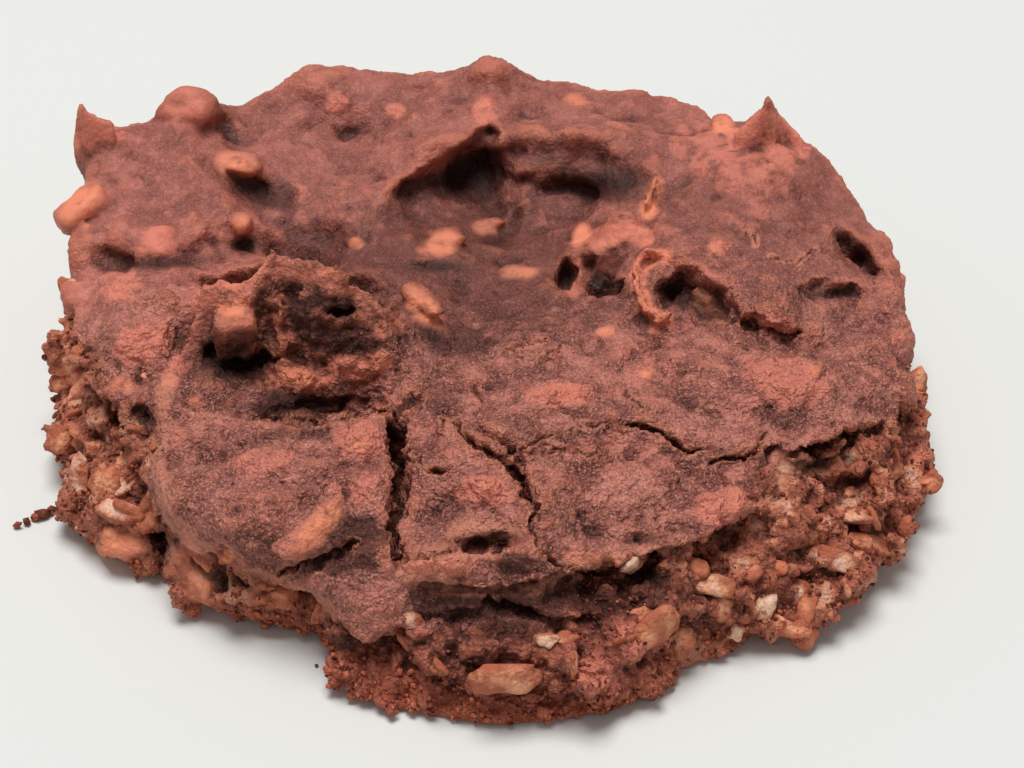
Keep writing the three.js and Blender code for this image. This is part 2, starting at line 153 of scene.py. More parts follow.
# Hollows and caves: middle and size in pixels, turn in degrees, depth, direction
HOLLOWS = [
    ((474, 176), (110, 50), 22, 2.2, UNDER),  # cave below the crater's lip
    ((602, 284), (48, 26), 0, 3.6, INWARD),  # deep hole in the middle
    ((566, 276), (24, 28), 0, 1.6, INWARD),
    ((700, 300), (80, 28), -24, 2.4, UNDER),  # cave below the right flap
    ((668, 290), (34, 44), 0, 1.2, INWARD),
    ((858, 252), (66, 15), -48, 2.2, INWARD),  # long slit at the right
    ((830, 294), (66, 9), 4, 1.0, UNDER),
    ((884, 318), (24, 14), 0, 0.7, INWARD),
    ((250, 184), (64, 24), -24, 1.1, UNDER),  # below the orange lump
    ((243, 247), (30, 18), 0, 1.2, UNDER),
    ((224, 122), (24, 64), 32, 1.0, INWARD),  # crevice beside the back lump
    ((345, 133), (30, 14), 0, 0.6, INWARD),
    ((238, 362), (90, 34), -4, 3.4, UNDER),  # recess below the oat cube
    ((320, 406), (150, 22), 6, 1.2, UNDER),  # recess along the foot of the torn face
    ((344, 310), (34, 18), 0, 1.6, UNDER),  # hole below the crest
    ((418, 338), (48, 14), -28, 1.1, UNDER),  # below the oval oat
    ((428, 266), (56, 8), 0, 0.6, UNDER),
    ((487, 541), (80, 18), 4, 1.9, INWARD),  # torn gap in front
    ((638, 540), (46, 11), 4, 1.0, INWARD),
    ((656, 580), (66, 34), -10, 3.4, BACK),  # black gap in the front
    ((520, 627), (104, 20), -8, 3.0, BACK),
    ((560, 640), (60, 12), -25, 1.4, BACK),
    ((440, 640), (60, 12), 22, 1.4, BACK),
    ((812, 462), (56, 22), 14, 2.0, BACK),  # black gap below the right lip
    ((853, 440), (28, 13), 30, 1.4, BACK),
    ((806, 500), (20, 46), 10, 1.4, BACK),
    ((848, 535), (40, 36), 0, 1.2, BACK),
    ((332, 556), (84, 14), 28, 1.0, INWARD),  # dark fold below the curled oat
    ((140, 420), (24, 40), 0, 1.4, INWARD),  # gap between the left side and the front slab
    ((217, 578), (22, 44), 0, 1.5, INWARD),
    ((238, 590), (36, 20), -30, 1.4, BACK),
    ((160, 545), (44, 36), 0, 2.0, BACK),
    ((750, 640), (40, 14), 10, 1.2, BACK),
]

# Skin that is torn open to the crumb: middle and size in pixels, and turn
TORN = [
    ((305, 350), (180, 116), -12), ((320, 404), (140, 20), 4), ((600, 280), (40, 24), 0),
    ((700, 304), (70, 24), -24), ((490, 541), (84, 18), 6), ((500, 648), (240, 50), 0),
    ((630, 610), (120, 60), -10),
]

# Lumps below the crust: middle and size in pixels, turn, rise, and how rosy and how amber they are
LUMPS = [
    # the oat cube's top: amber, partly painted highlight on its lit face
    ((236, 307), (42, 22), 6, 0.0, 0.2, 1.0),
    ((337, 103), (32, 26), 0, 0.3, 0.6, 0.0),
    ((394, 111), (26, 20), 0, 0.3, 0.6, 0.1),
    ((484, 112), (30, 34), 0, 0.4, 0.5, 0.2),
    ((577, 99), (28, 14), -10, 0.4, 0.1, 0.6),
    ((735, 160), (150, 80), -20, 0.2, 0.45, 0.0),
    ((775, 150), (70, 50), -40, 0.6, 0.5, 0.1),
    ((720, 247), (26, 16), 0, 0.5, 0.9, 0.1),
    ((760, 290), (110, 60), -20, 0.5, 0.05, 0.0),
    ((120, 286), (54, 36), 0, 0.6, 0.6, 0.0),
    ((140, 345), (70, 46), 0, 0.8, 0.9, 0.1),
    ((162, 331), (22, 16), 0, 0.3, 0.6, 0.4),
    ((297, 380), (76, 26), -10, 1.3, 0.6, 0.7),
    ((285, 377), (30, 14), -10, 0.3, 0.0, 0.9),
    ((352, 368), (48, 24), -14, 1.2, 0.9, 0.3),
    ((381, 361), (26, 22), 40, 1.2, 0.7, 0.7),
    ((332, 274), (44, 12), -18, 0.0, 0.3, 0.5),
    ((226, 286), (40, 10), 10, 0.0, 0.3, 0.4),
    ((195, 402), (18, 14), 0, 0.3, 0.1, 0.6),
    ((179, 438), (14, 22), 0, 0.3, 0.2, 0.4),
    ((262, 462), (80, 30), 6, 0.4, 0.7, 0.0),
    ((360, 441), (66, 46), 0, 0.7, 0.8, 0.1),
    ((361, 446), (20, 12), 0, 0.2, 0.0, 0.7),
    ((364, 490), (34, 34), 0, 0.4, 0.8, 0.0),
    ((265, 525), (110, 80), 0, 0.6, 0.15, 0.0),
    ((562, 395), (78, 31), 4, 0.8, 1.0, 0.2),
    ((590, 389), (20, 14), 0, 0.2, 0.0, 0.5),
    ((483, 491), (68, 36), -4, 0.8, 0.9, 0.1),
    ((488, 492), (26, 20), 0, 0.2, 0.0, 0.5),
    ((724, 507), (68, 46), 10, 0.8, 0.9, 0.1),
    ((738, 499), (24, 26), 0, 0.3, 0.3, 0.4),
    ((790, 384), (100, 66), -14, 0.2, 0.7, 0.1),
    ((814, 370), (22, 14), -20, 0.3, 0.0, 0.7),
    ((748, 362), (24, 20), 0, 0.3, 0.6, 0.1),
    ((440, 403), (44, 30), 0, 0.6, 0.0, 0.0),
    ((425, 425), (50, 26), 0, 0.4, 0.1, 0.0),
    ((560, 430), (90, 40), 10, 0.4, 0.0, 0.0),
    ((522, 563), (58, 30), 6, 0.8, 0.0, 0.0),
    ((436, 568), (84, 22), 2, 0.6, 0.9, 0.4),
    ((597, 560), (70, 14), -2, 0.4, 0.1, 0.6),
    ((900, 339), (22, 12), 0, 0.6, 0.8, 0.3),
    ((925, 460), (26, 40), 0, 0.6, 0.6, 0.6),
    ((640, 640), (70, 50), 0, 0.8, 0.8, 0.1),
    ((665, 602), (50, 36), 0, 0.8, 0.2, 0.0),
    ((595, 675), (60, 44), 0, 0.8, 0.7, 0.1),
    ((650, 680), (50, 36), 0, 0.6, 0.3, 0.0),
    ((500, 650), (110, 26), -4, 0.8, 0.1, 0.0),
    ((650, 370), (110, 80), 0, 0.0, 0.25, 0.0),
    ((630, 450), (180, 50), 0, 0.0, 0.25, 0.0),
    ((350, 470), (90, 100), 0, 0.0, 0.2, 0.0),
    ((750, 215), (50, 40), 0, 0.2, 0.35, 0.0),
    ((770, 322), (60, 24), 0, 0.1, 0.4, 0.0),
    ((696, 270), (66, 20), -20, 0.0, 0.4, 0.0),
    ((450, 160), (90, 14), 26, 0.0, 0.5, 0.2),
]

# Dark smooth patches, partly the dough's own darker colour and partly painted shade in valleys, caves,
# recesses and below pieces: middle and size in pixels, turn, and how dark
UMBER_AND_SHADE = [
    ((345, 545), (116, 84), 20, 1.0), ((520, 562), (56, 28), 6, 0.9), ((585, 600), (250, 46), -3, 0.9),
    ((322, 478), (80, 34), 10, 0.5), ((440, 402), (50, 36), 0, 0.7), ((785, 418), (54, 28), 10, 0.7),
    ((450, 338), (120, 50), -14, 0.8), ((580, 412), (84, 16), 0, 0.4), ((425, 470), (50, 40), 0, 0.4),
    ((690, 395), (80, 34), -10, 0.3), ((610, 520), (90, 36), 0, 0.35), ((665, 450), (26, 16), 0, 0.7),
    ((260, 530), (66, 50), 0, 0.5), ((200, 470), (50, 70), 0, 0.5), ((345, 133), (46, 24), 0, 0.5),
    ((270, 195), (104, 50), -20, 0.7), ((520, 320), (150, 50), 0, 0.4), ((840, 330), (80, 50), 0, 0.3),
    ((474, 182), (96, 60), 24, 0.9), ((300, 402), (150, 40), 4, 0.8), ((238, 364), (92, 40), 0, 0.9),
    ((650, 600), (80, 60), 0, 0.7), ((345, 330), (130, 64), -20, 0.7), ((590, 180), (150, 36), 0, 0.8),
    ((160, 200), (80, 50), -10, 0.4), ((310, 238), (120, 40), -18, 0.7), ((215, 392), (70, 44), -10, 0.6),
    ((520, 430), (60, 30), -20, 0.5), ((760, 230), (60, 30), -10, 0.35), ((140, 430), (60, 90), 0, 0.5),
    ((300, 432), (120, 20), 2, 0.7), ((520, 152), (90, 16), 0, 0.5), ((655, 205), (80, 24), 0, 0.5),
    ((650, 290), (40, 50), 0, 0.6), ((590, 278), (70, 40), 0, 0.8), ((690, 302), (80, 30), -24, 0.7),
    ((244, 246), (44, 24), 0, 0.7), ((160, 264), (110, 16), 4, 0.7), ((226, 122), (28, 60), 32, 0.5),
    ((540, 225), (250, 90), 0, 0.5), ((470, 195), (110, 70), 10, 0.6), ((420, 330), (190, 90), -10, 0.45),
    ((96, 140), (60, 70), 0, 0.4), ((230, 180), (110, 90), 0, 0.4), ((108, 370), (60, 120), 0, 0.4),
    ((640, 200), (110, 40), 0, 0.5), ((610, 285), (110, 40), 0, 0.5), ((850, 212), (70, 80), -40, 0.45),
    ((700, 155), (110, 60), 0, 0.25), ((330, 225), (190, 60), -14, 0.4), ((170, 480), (60, 110), 0, 0.4),
    ((225, 520), (90, 60), 0, 0.3), ((500, 642), (200, 36), 0, 0.6),
    ((500, 150), (880, 260), 0, 0.34), ((460, 270), (480, 210), 0, 0.72), ((770, 230), (320, 270), 0, 0.55),
    # the oat cube's front face, the crest's torn face and the ledge below the front plank: painted shade
    ((242, 341), (54, 32), 0, 0.9), ((330, 322), (120, 84), -18, 0.95), ((500, 606), (230, 40), 0, 1.0),
]

# Deep shade in caves and below pieces: middle and size in pixels, turn, and how deep
SHADES = [
    ((474, 172), (84, 60), 22, 1.0), ((452, 180), (100, 40), 28, 0.9), ((492, 152), (34, 40), 0, 0.9),
    ((530, 176), (60, 60), 0, 0.4), ((598, 186), (140, 42), -2, 1.0), ((570, 166), (190, 54), -3, 0.55),
    ((500, 205), (150, 50), 0, 0.35),
    ((232, 366), (104, 44), -4, 1.0), ((262, 294), (20, 26), 0, 0.9), ((340, 308), (36, 32), 0, 0.95),
    ((300, 404), (160, 30), 4, 0.85), ((352, 344), (64, 22), -20, 0.7), ((206, 340), (34, 60), 20, 0.8),
    ((436, 267), (72, 14), -2, 0.95), ((434, 336), (44, 20), -44, 0.75), ((492, 242), (52, 16), -6, 0.7),
    ((654, 578), (64, 28), -8, 1.0), ((520, 626), (110, 14), -6, 0.9), ((480, 600), (190, 18), 2, 0.85),
    ((604, 286), (50, 26), 0, 1.0), ((566, 276), (26, 30), 0, 0.8), ((694, 302), (90, 30), -24, 0.9),
    ((668, 292), (34, 40), 0, 0.7), ((858, 252), (68, 20), -48, 1.0), ((830, 294), (68, 12), 2, 0.8),
    ((244, 247), (34, 20), 0, 0.9), ((256, 190), (80, 34), -24, 0.7), ((160, 263), (110, 14), 4, 0.7),
    ((222, 116), (20, 50), 32, 0.6), ((812, 463), (60, 24), 12, 0.9), ((148, 418), (30, 40), 0, 0.8),
    ((162, 548), (44, 36), 0, 0.8), ((220, 580), (26, 40), 0, 0.8), ((640, 540), (46, 9), 4, 0.8),
    ((487, 540), (88, 20), 4, 0.95), ((322, 562), (84, 14), 26, 0.7),
    ((318, 318), (104, 62), -16, 0.5), ((292, 350), (70, 30), 0, 0.35), ((196, 352), (36, 50), 30, 0.6),
]

# Thin lips of crust that stand up: pixels along the upper edge, pixels along the foot, how far the edge leans
# back, thickness, and how rosy and how amber they are
LIPS = [
    ([(199, 299), (202, 289), (217, 285), (219, 280), (229, 284), (248, 281), (261, 270), (271, 249)],
     [(204, 306), (212, 301), (222, 298), (230, 297), (240, 296), (252, 293), (264, 289), (276, 284)],
     0.5, 0.7, 0.45, 0.2),
    ([(270, 250), (290, 257), (310, 260), (333, 266), (347, 273), (356, 283)],
     [(278, 284), (292, 283), (306, 286), (326, 291), (344, 296), (356, 300)], 0.6, 0.7, 0.45, 0.2),
    ([(355, 286), (375, 297), (384, 307), (398, 316)],
     [(360, 304), (374, 312), (386, 322), (398, 330)], 0.5, 0.6, 0.4, 0.1),
    ([(199, 299), (192, 325), (183, 347), (165, 373)],
     [(207, 316), (201, 340), (193, 358), (177, 380)], 0.4, 0.6, 0.6, 0.1),
    ([(597, 232), (604, 218), (616, 210), (630, 210), (641, 218), (644, 232)],
     [(598, 250), (606, 253), (616, 255), (626, 254), (636, 250), (643, 244)], 2.4, 1.1, 0.7, 0.2),
    ([(75, 134), (79, 101), (88, 113), (100, 118), (114, 124)],
     [(92, 150), (93, 147), (97, 144), (104, 142), (114, 142)], 0.2, 1.3, 0.5, 0.1),
    ([(734, 134), (750, 119), (761, 109), (768, 97), (777, 110), (790, 126), (804, 142)],
     [(738, 144), (750, 142), (760, 141), (768, 141), (777, 142), (788, 146), (800, 152)],
     0.2, 1.5, 0.6, 0.1),
]

# Coated pieces that stand out of the crust: middle in pixels, length, width and height, turn, how far out
# their middle stands, how square they are (2 is an oval), how far they bend, how rosy and how amber
# Their amber is partly painted highlight on their tops and edges
STONES = [
    ((238, 166), (4.2, 2.2, 2.0), -14, 0.35, 3.0, 0.0, 0.2, 1.0),
    ((82, 208), (4.8, 3.4, 3.0), 48, -0.3, 2.5, 0.0, 0.5, 0.8),
    ((190, 110), (5.4, 3.8, 3.6), 4, -1.2, 2.5, 0.0, 0.4, 0.0),
    ((242, 224), (1.8, 1.7, 1.4), 0, 0.2, 3.0, 0.0, 0.2, 0.9),
    ((356, 243), (1.4, 1.0, 0.9), 0, 0.1, 2.5, 0.0, 0.0, 0.8),
    ((157, 237), (3.4, 2.8, 1.6), 0, -0.2, 2.5, 0.0, 0.5, 0.0),
    ((442, 244), (3.7, 2.0, 1.9), 14, 0.2, 3.6, 0.0, 0.5, 0.8),
    ((490, 226), (3.0, 1.4, 1.3), 8, 0.15, 3.0, 0.1, 0.4, 0.5),
    ((424, 308), (4.8, 2.3, 1.3), -50, 0.9, 2.3, 0.0, 0.1, 1.0),
    ((722, 125), (2.0, 1.8, 1.6), 0, 0.1, 3.0, 0.0, 0.0, 1.0),
    ((581, 236), (2.4, 1.5, 1.2), 64, 0.3, 2.3, 0.0, 0.0, 1.0),
    ((609, 266), (2.2, 1.6, 1.2), 20, 0.1, 2.5, 0.0, 0.3, 0.0),
    ((518, 273), (3.2, 1.3, 0.9), 4, 0.15, 2.3, 0.0, 0.3, 0.7),
    ((704, 303), (2.2, 1.6, 1.2), -10, 0.4, 2.5, 0.0, 0.0, 0.9),
    ((122, 386), (1.8, 1.4, 1.2), 0, 0.1, 2.5, 0.0, 0.1, 0.9),
    ((239, 326), (3.3, 2.7, 3.5), 8, 0.9, 14.0, 0.0, 0.1, 0.1),
    ((316, 530), (6.4, 2.1, 1.0), 48, 0.1, 3.4, 0.24, 0.0, 1.0),
    ((920, 386), (3.2, 2.4, 2.0), 80, 0.05, 3.0, 0.0, 0.4, 0.8),
    ((120, 544), (4.0, 2.6, 2.4), 0, 0.15, 3.0, 0.0, 0.3, 0.9),
    ((76, 296), (3.0, 2.4, 2.0), 0, -0.3, 3.0, 0.0, 0.1, 0.0),
    ((74, 380), (3.2, 2.4, 2.4), 0, 0.1, 3.0, 0.0, 0.2, 0.3),
    ((66, 438), (2.8, 2.4, 2.4), 0, 0.1, 3.0, 0.0, 0.2, 0.7),
    ((606, 332), (1.8, 0.9, 0.8), 8, 0.15, 2.3, 0.0, 0.4, 0.6),
    ((648, 373), (1.6, 0.9, 0.9), 4, 0.2, 2.3, 0.0, 0.0, 1.0),
    ((194, 574), (5.0, 2.8, 0.9), -62, 0.2, 2.6, 0.2, 0.0, 0.35),
]
OVAL_LIMIT = 2.4  # pieces less square than this are smooth
OVAL_UNEVENNESS = 0.07
BLOCK_LIMIT = 4.0  # pieces more square than this have clean edges, and stand upright
BLOCK_UNEVENNESS = 0.04
BROKEN_UNEVENNESS = 0.17  # of the pieces between, which are cut flat as if broken
UPRIGHT_LEAN = np.array([0.0, -0.4, 0.9])  # added to the way out of the skin for all but the blocks

# Thin ribs and ribbons: pixels along the line, thickness, height, and how rosy and how amber they are
RIBBONS = [
    ([(664, 257), (652, 258), (642, 264), (638, 276), (641, 292), (646, 308), (656, 318), (666, 320),
      (658, 327)], 0.42, 1.5, 0.8, 0.6),
    ([(648, 212), (651, 200), (656, 186)], 0.6, 1.4, 0.2, 1.0),
    ([(284, 352), (283, 330), (279, 300)], 0.5, 1.2, 0.5, 0.3),
    ([(576, 262), (582, 272), (580, 284), (573, 291)], 0.4, 0.9, 0.6, 0.2),
    ([(318, 314), (330, 322), (346, 324), (360, 318)], 0.5, 1.0, 0.5, 0.2),
    ([(366, 306), (380, 318), (384, 332)], 0.5, 0.9, 0.5, 0.2),
]

STEP_SPACING = 6.0  # pixels between the points of a step's line
STRIP_SPACING = 3.0  # and of a lip or flap
BEAD_SPACING = 2.0  # and of a rib
CRACK_SPACING = 3.5  # and of a crack
CRACK_KINK = 2.0  # how many pixels a crack's points stray
LIP_ROOT = 0.9  # how deep in the dough a lip starts
FLAP_ROOT = 0.7
RIB_REACH = 14  # how many pixels off its line a rib or lip is looked for
CRUMBLY_RIM = 12.0  # how many pixels wide the crumbly rims of the cracks are

# Cracks through the crust: pixels they pass, width in pixels, depth
CRACKS = [
    ([(418, 398), (402, 404), (398, 412), (392, 432), (396, 452), (402, 470), (395, 492), (400, 510),
      (392, 528), (397, 546), (396, 566)], 15, 1.8),
    ([(251, 420), (270, 416), (290, 424), (330, 421), (360, 416), (392, 410)], 7, 1.2),
    ([(455, 424), (466, 436), (481, 448), (503, 460), (519, 474), (526, 483)], 8, 1.4),
    ([(526, 483), (522, 496), (539, 506), (530, 522), (537, 546), (558, 562), (575, 570)], 5, 0.9),
    ([(505, 458), (519, 449), (547, 436), (579, 428), (621, 420)], 4, 0.6),
    ([(519, 452), (563, 449), (605, 457)], 3.5, 0.5),
    ([(621, 424), (645, 427), (662, 434), (675, 443), (691, 452), (706, 448)], 6, 1.1),
    ([(704, 466), (723, 458), (746, 459), (757, 452), (762, 440), (768, 430)], 6, 1.0),
    ([(623, 393), (634, 399), (648, 408)], 4.5, 0.8),
    ([(430, 470), (441, 472), (453, 468)], 6, 0.8),
    ([(474, 390), (480, 397), (483, 402)], 10, 1.1),
    ([(662, 500), (672, 491), (664, 482)], 3.5, 0.4),
    ([(668, 520), (674, 530), (670, 544)], 4.5, 0.6),
    ([(280, 574), (310, 562), (338, 552), (358, 541)], 7, 1.1),
    ([(430, 416), (445, 420), (442, 430)], 3.5, 0.4),
    ([(405, 446), (418, 455), (422, 466)], 4.5, 0.6),
    ([(742, 322), (772, 333), (787, 336), (802, 331)], 6, 0.9),
    ([(745, 230), (752, 237), (757, 243)], 4, 0.5),
    ([(770, 258), (795, 262), (817, 250)], 3.5, 0.4),
    ([(400, 560), (425, 556), (455, 549)], 6, 1.0),
    ([(575, 572), (610, 574), (632, 560)], 6, 1.0),
    ([(500, 352), (522, 345), (546, 340)], 4, 0.4),
    ([(516, 360), (540, 356), (560, 348)], 3.5, 0.4),
    ([(700, 410), (708, 402), (716, 404)], 3.5, 0.4),
]

# Crumbly edges of the crust: pixels they pass
RIMS = [
    [(401, 576), (420, 584), (440, 588), (470, 590), (500, 591), (530, 590), (553, 584)],
    [(402, 558), (425, 556), (455, 550), (470, 552), (490, 552)],
    [(537, 552), (556, 562), (580, 567), (605, 566), (622, 558), (645, 556), (662, 550)],
    [(690, 549), (715, 538), (740, 524), (758, 500)],
    [(453, 532), (470, 528), (495, 528), (521, 531)],
    [(762, 446), (785, 460), (815, 458), (838, 442)],
    [(166, 380), (160, 420), (160, 470), (168, 515), (198, 545), (240, 568), (290, 590), (335, 612)],
]

# Flaps of crust that stand up or hang over: pixels along the foot, height at its ends and middle, lean
# towards the camera, thickness
FLAPS = [
    ([(404, 192), (430, 177), (462, 160), (488, 138), (504, 146)], (0.2, 0.4, 0.4), 0.4, 0.6),
    ([(764, 446), (785, 456), (812, 454), (836, 440)], (0.3, 0.6, 0.4), 1.2, 0.6),
]

# Fine relief: heights of the crust's crags, creases and ledges, and of the crumb
CRAG_HEIGHT = 0.22
CREST_CRAG_HEIGHT = 0.25
CREASE_DEPTH = 0.34
LEDGE_HEIGHT = 0.30
FINE_LEDGE_HEIGHT = 0.10
CRUMB_HEIGHT = 0.13
CRUMB_UNEVENNESS = 0.22
CRACK_RIM_HEIGHT = 0.16

# Broken chunks that the torn side and the foot are made of: how many, and their least and greatest radius
SIDE_CHUNKS = [(420, 0.35, 0.7), (170, 0.7, 1.3), (60, 1.3, 2.2)]
FOOT_CHUNKS = (300, 0.6, 2.0)

# Oat flakes: middle in pixels, length, width, turn, curl, how far out they stand, and how pale they are
FLAKES = [
    ((80, 484), 4.8, 2.0, 84, 0.2, 0.3, 1.0),
    ((124, 485), 2.2, 1.5, 40, 0.2, 0.3, 0.9), ((118, 512), 3.4, 1.6, -26, 0.2, 0.3, 0.9),
    ((104, 486), 3.0, 2.4, 20, 0.1, 0.2, 0.3), ((60, 440), 2.8, 2.0, 60, 0.2, 0.3, 0.4),
    ((62, 380), 2.4, 1.6, 30, 0.1, 0.3, 0.5), ((412, 620), 2.0, 1.5, -50, 0.0, 0.3, 0.75),
    ((561, 642), 2.4, 1.3, 32, 0.1, 0.3, 0.9), ((505, 680), 5.2, 2.2, 2, 0.2, 0.3, 0.55),
    ((652, 632), 4.4, 2.4, 24, 0.2, 0.2, 0.4), ((680, 642), 2.6, 2.0, 80, 0.1, 0.3, 0.45),
    ((640, 618), 2.2, 1.6, 10, 0.1, 0.2, 0.4), ((853, 516), 2.8, 1.2, -10, 0.1, 0.3, 0.7),
    ((882, 491), 2.2, 1.1, 100, 0.1, 0.3, 0.6), ((838, 561), 3.6, 1.6, -25, 0.2, 0.4, 0.85),
    ((798, 592), 2.2, 1.7, 60, 0.1, 0.4, 1.0), ((806, 612), 3.0, 1.4, 74, 0.4, 0.5, 0.2),
    ((792, 629), 3.2, 1.5, -4, 0.4, 0.5, 0.25), ((808, 637), 1.8, 1.5, 40, 0.1, 0.4, 0.15),
    ((917, 384), 2.6, 1.9, 80, 0.2, 0.3, 0.6), ((928, 484), 2.6, 1.6, 30, 0.2, 0.2, 0.2),
    ((736, 632), 1.7, 1.2, 70, 0.1, 0.3, 1.0), ((746, 616), 1.4, 1.0, 40, 0.1, 0.3, 1.0),
    ((722, 606), 2.2, 1.8, 60, 0.1, 0.2, 0.6), ((285, 597), 2.4, 1.8, 10, 0.1, 0.3, 0.2),
    ((230, 553), 2.6, 1.5, 30, 0.2, 0.2, 0.25), ((150, 520), 2.2, 1.5, 60, 0.2, 0.2, 0.3),
]
HIDDEN_FLAKES = (46, 1.8, 4.6)  # on the sides that the photograph doesn't show: how many, and their lengths
SIDE_BITS = (420, 0.5, 2.2)  # broken flakes all round the torn side, likewise
FLAKE_RANGES = ((0.4, 0.65), (0.1, 0.35), (0.1, 1.0))  # width for their length, how far out, and how pale
BIT_RANGES = ((0.5, 0.9), (-0.1, 0.2), (-0.2, 0.9))
MOST_CURL = 0.4
FLAKE_BLUNTNESS = 2.8  # 2 is an oval
FLAKE_RAGGEDNESS = 0.34
FLAKE_THICKNESS = 0.24  # from its middle to its face, for its width
FLAKE_SINK = 0.36  # how much deeper flakes are set than their row says
SIDE_LEAN = 1.2  # how far the flakes and nuts of the tables turn to the camera

# Nut pieces: middle in pixels, length, width and height, turn, and how far out they stand
NUTS = [
    ((629, 562), (1.7, 1.2, 0.9), 14, 0.25), ((707, 585), (2.9, 1.7, 1.5), -18, 0.1),
    ((548, 640), (1.4, 1.0, 0.9), 10, 0.2), ((762, 605), (1.6, 1.3, 1.2), 50, 0.1),
]
HIDDEN_NUTS = (9, 1.2, 3.0)  # how many on the hidden sides, and their lengths
HIDDEN_NUT_FORM = np.array([1, 0.75, 0.6])  # length, width and height for the length
HIDDEN_NUT_OUT = 0.25
NUT_SINK = 0.2  # how much deeper nuts are set than their row says

# Loose crumbs: how many, their least and greatest radius, and how much is added to their tone
SIDE_CRUMBS = (4600, 0.10, 0.36, 0.05)
FOOT_CRUMBS = (1500, 0.12, 0.5, 0.45)
EDGE_CRUMBS = (1300, 0.08, 0.24, 0.35)
TABLE_CRUMB_LIGHT = 0.2
# The trail on the table: middle in pixels, and radius
TABLE_CRUMBS = [((18, 528), 0.55), ((27, 525), 0.6), ((35, 520), 0.7), ((44, 518), 0.8), ((53, 514), 0.75),
                ((62, 511), 0.7), ((317, 667), 0.3), ((327, 660), 0.25)]


def smooth_step(low, high, value):
    share = np.clip((value - low) / (high - low), 0.0, 1.0)
    return share * share * (3.0 - 2.0 * share)


# Meshes

def vectors(rows, name):
    flat = np.empty(3 * len(rows), np.float32)
    rows.foreach_get(name, flat)
    return flat.reshape(-1, 3).astype(float)


def points_of(mesh):
    return vectors(mesh.vertices, "co")


def normals_of(mesh):
    return vectors(mesh.vertex_normals, "vector")


def move_points(mesh, points):
    """Moves the mesh's points to new places, none of them below the table."""
    points = points.copy()
    points[:, 2] = np.maximum(points[:, 2], 0)
    mesh.vertices.foreach_set("co", points.astype(np.float32).ravel())
    mesh.update()


def set_values(mesh, name, values):
    layer = mesh.attributes.new(name, "FLOAT", "POINT")
    layer.data.foreach_set("value", np.asarray(values, np.float32))


def raise_to(mask, near, values):
    """Raises a mask at some points to the values there, where it is lower."""
    mask[near] = np.maximum(mask[near], values)


def unit(way):
    return way / np.linalg.norm(way)


def mesh_from(build):
    """A new mesh from a bmesh, which is freed."""
    mesh = bpy.data.meshes.new("work")
    build.to_mesh(mesh)
    build.free()
    return mesh


def joined(meshes):
    build = bmesh.new()
    for mesh in meshes:
        build.from_mesh(mesh)
    return mesh_from(build)


def modified(mesh, kind, **settings):
    """The mesh after one modifier, as a new mesh."""
    holder = bpy.data.objects.new("holder", mesh)
    bpy.context.scene.collection.objects.link(holder)
    modifier = holder.modifiers.new(kind, kind)
    for name, value in settings.items():
        setattr(modifier, name, value)
    graph = bpy.context.evaluated_depsgraph_get()
    made = bpy.data.meshes.new_from_object(holder.evaluated_get(graph))
    bpy.data.objects.remove(holder)
    return made


def fractal_noise(points, size, shift, fall, octaves, gap=2.0, **basis):
    """Noise at each point that changes over `size` millimetres, each octave finer by the gap and weaker."""
    places = (points / size + shift).tolist()
    return np.array([noise.fractal(place, fall, gap, octaves, **basis) for place in places])


def unevenness(points, size, octaves=3, shift=0.0):
    """Soft noise at each point, about -1 to 1, that changes over `size` millimetres."""
    return fractal_noise(points, size, shift, 1.0, octaves)


def crags(points, size, shift=0.0):
    """Rough noise with much fine detail, about -1 to 1, that starts at `size` millimetres."""
    return fractal_noise(points, size, shift, 0.55, 5, gap=2.1)


def creases(points, size):
    """1 along thin wandering lines about `size` millimetres apart, and 0 elsewhere."""
    lines = np.exp(-(unevenness(points, size, 3, shift=61.0) / 0.05) ** 2)
    return lines * smooth_step(-0.05, 0.3, unevenness(points, 2.2 * size, 2, shift=67.0))


def ledges(points, size, steps, shift):
    """Noise cut into flat steps: how far each point moves to reach its step, as a share of a step."""
    level = steps * unevenness(points, size, 4, shift)
    return np.floor(level) + smooth_step(0.25, 0.75, level - np.floor(level)) - level


def billows(points, size, shift=0.0):
    """Rounded swellings about `size` millimetres across, about 0 on average, with creases between them."""
    return 2.4 * np.abs(fractal_noise(points, size, shift, 1.0, 2)) - 0.6


def crumbliness(points, size, octaves=2, shift=0.0):
    """Noise like packed crumbs of about `size` millimetres: high in their middles and low between them."""
    cells = fractal_noise(points, size, shift, 1.0, octaves, noise_basis="VORONOI_F2F1")
    return (cells - cells.mean()) / cells.std()


# Places on the cookie

def sight(pixel):
    """The direction in which the camera sees a pixel of the photograph."""
    right = (pixel[0] - PHOTO_SIZE[0] / 2) / VIEW_SCALE
    up = (PHOTO_SIZE[1] / 2 - pixel[1]) / VIEW_SCALE
    return unit(VIEW_AHEAD + right * VIEW_RIGHT + up * VIEW_UP)


def pixels_of(points):
    """Where the camera sees points, in pixels of the photograph."""
    offset = points - VIEW_EYE
    scale = VIEW_SCALE / (offset @ VIEW_AHEAD)
    across = PHOTO_SIZE[0] / 2 + scale * (offset @ VIEW_RIGHT)
    down = PHOTO_SIZE[1] / 2 - scale * (offset @ VIEW_UP)
    return np.stack([across, down], 1)


def on_table(pixel):
    """The place on the table that a pixel shows."""
    ray = sight(pixel)
    return VIEW_EYE - ray * (VIEW_EYE[2] / ray[2])


def resampled(pixels, step):
    """Pixels along a line, every few pixels."""
    line = []
    for a, b in zip(pixels, pixels[1:]):
        count = max(1, round(math.dist(a, b) / step))
        line += [np.add(a, np.multiply(np.subtract(b, a), i / count)) for i in range(count)]
    line.append(np.array(pixels[-1], float))
    return np.array(line)


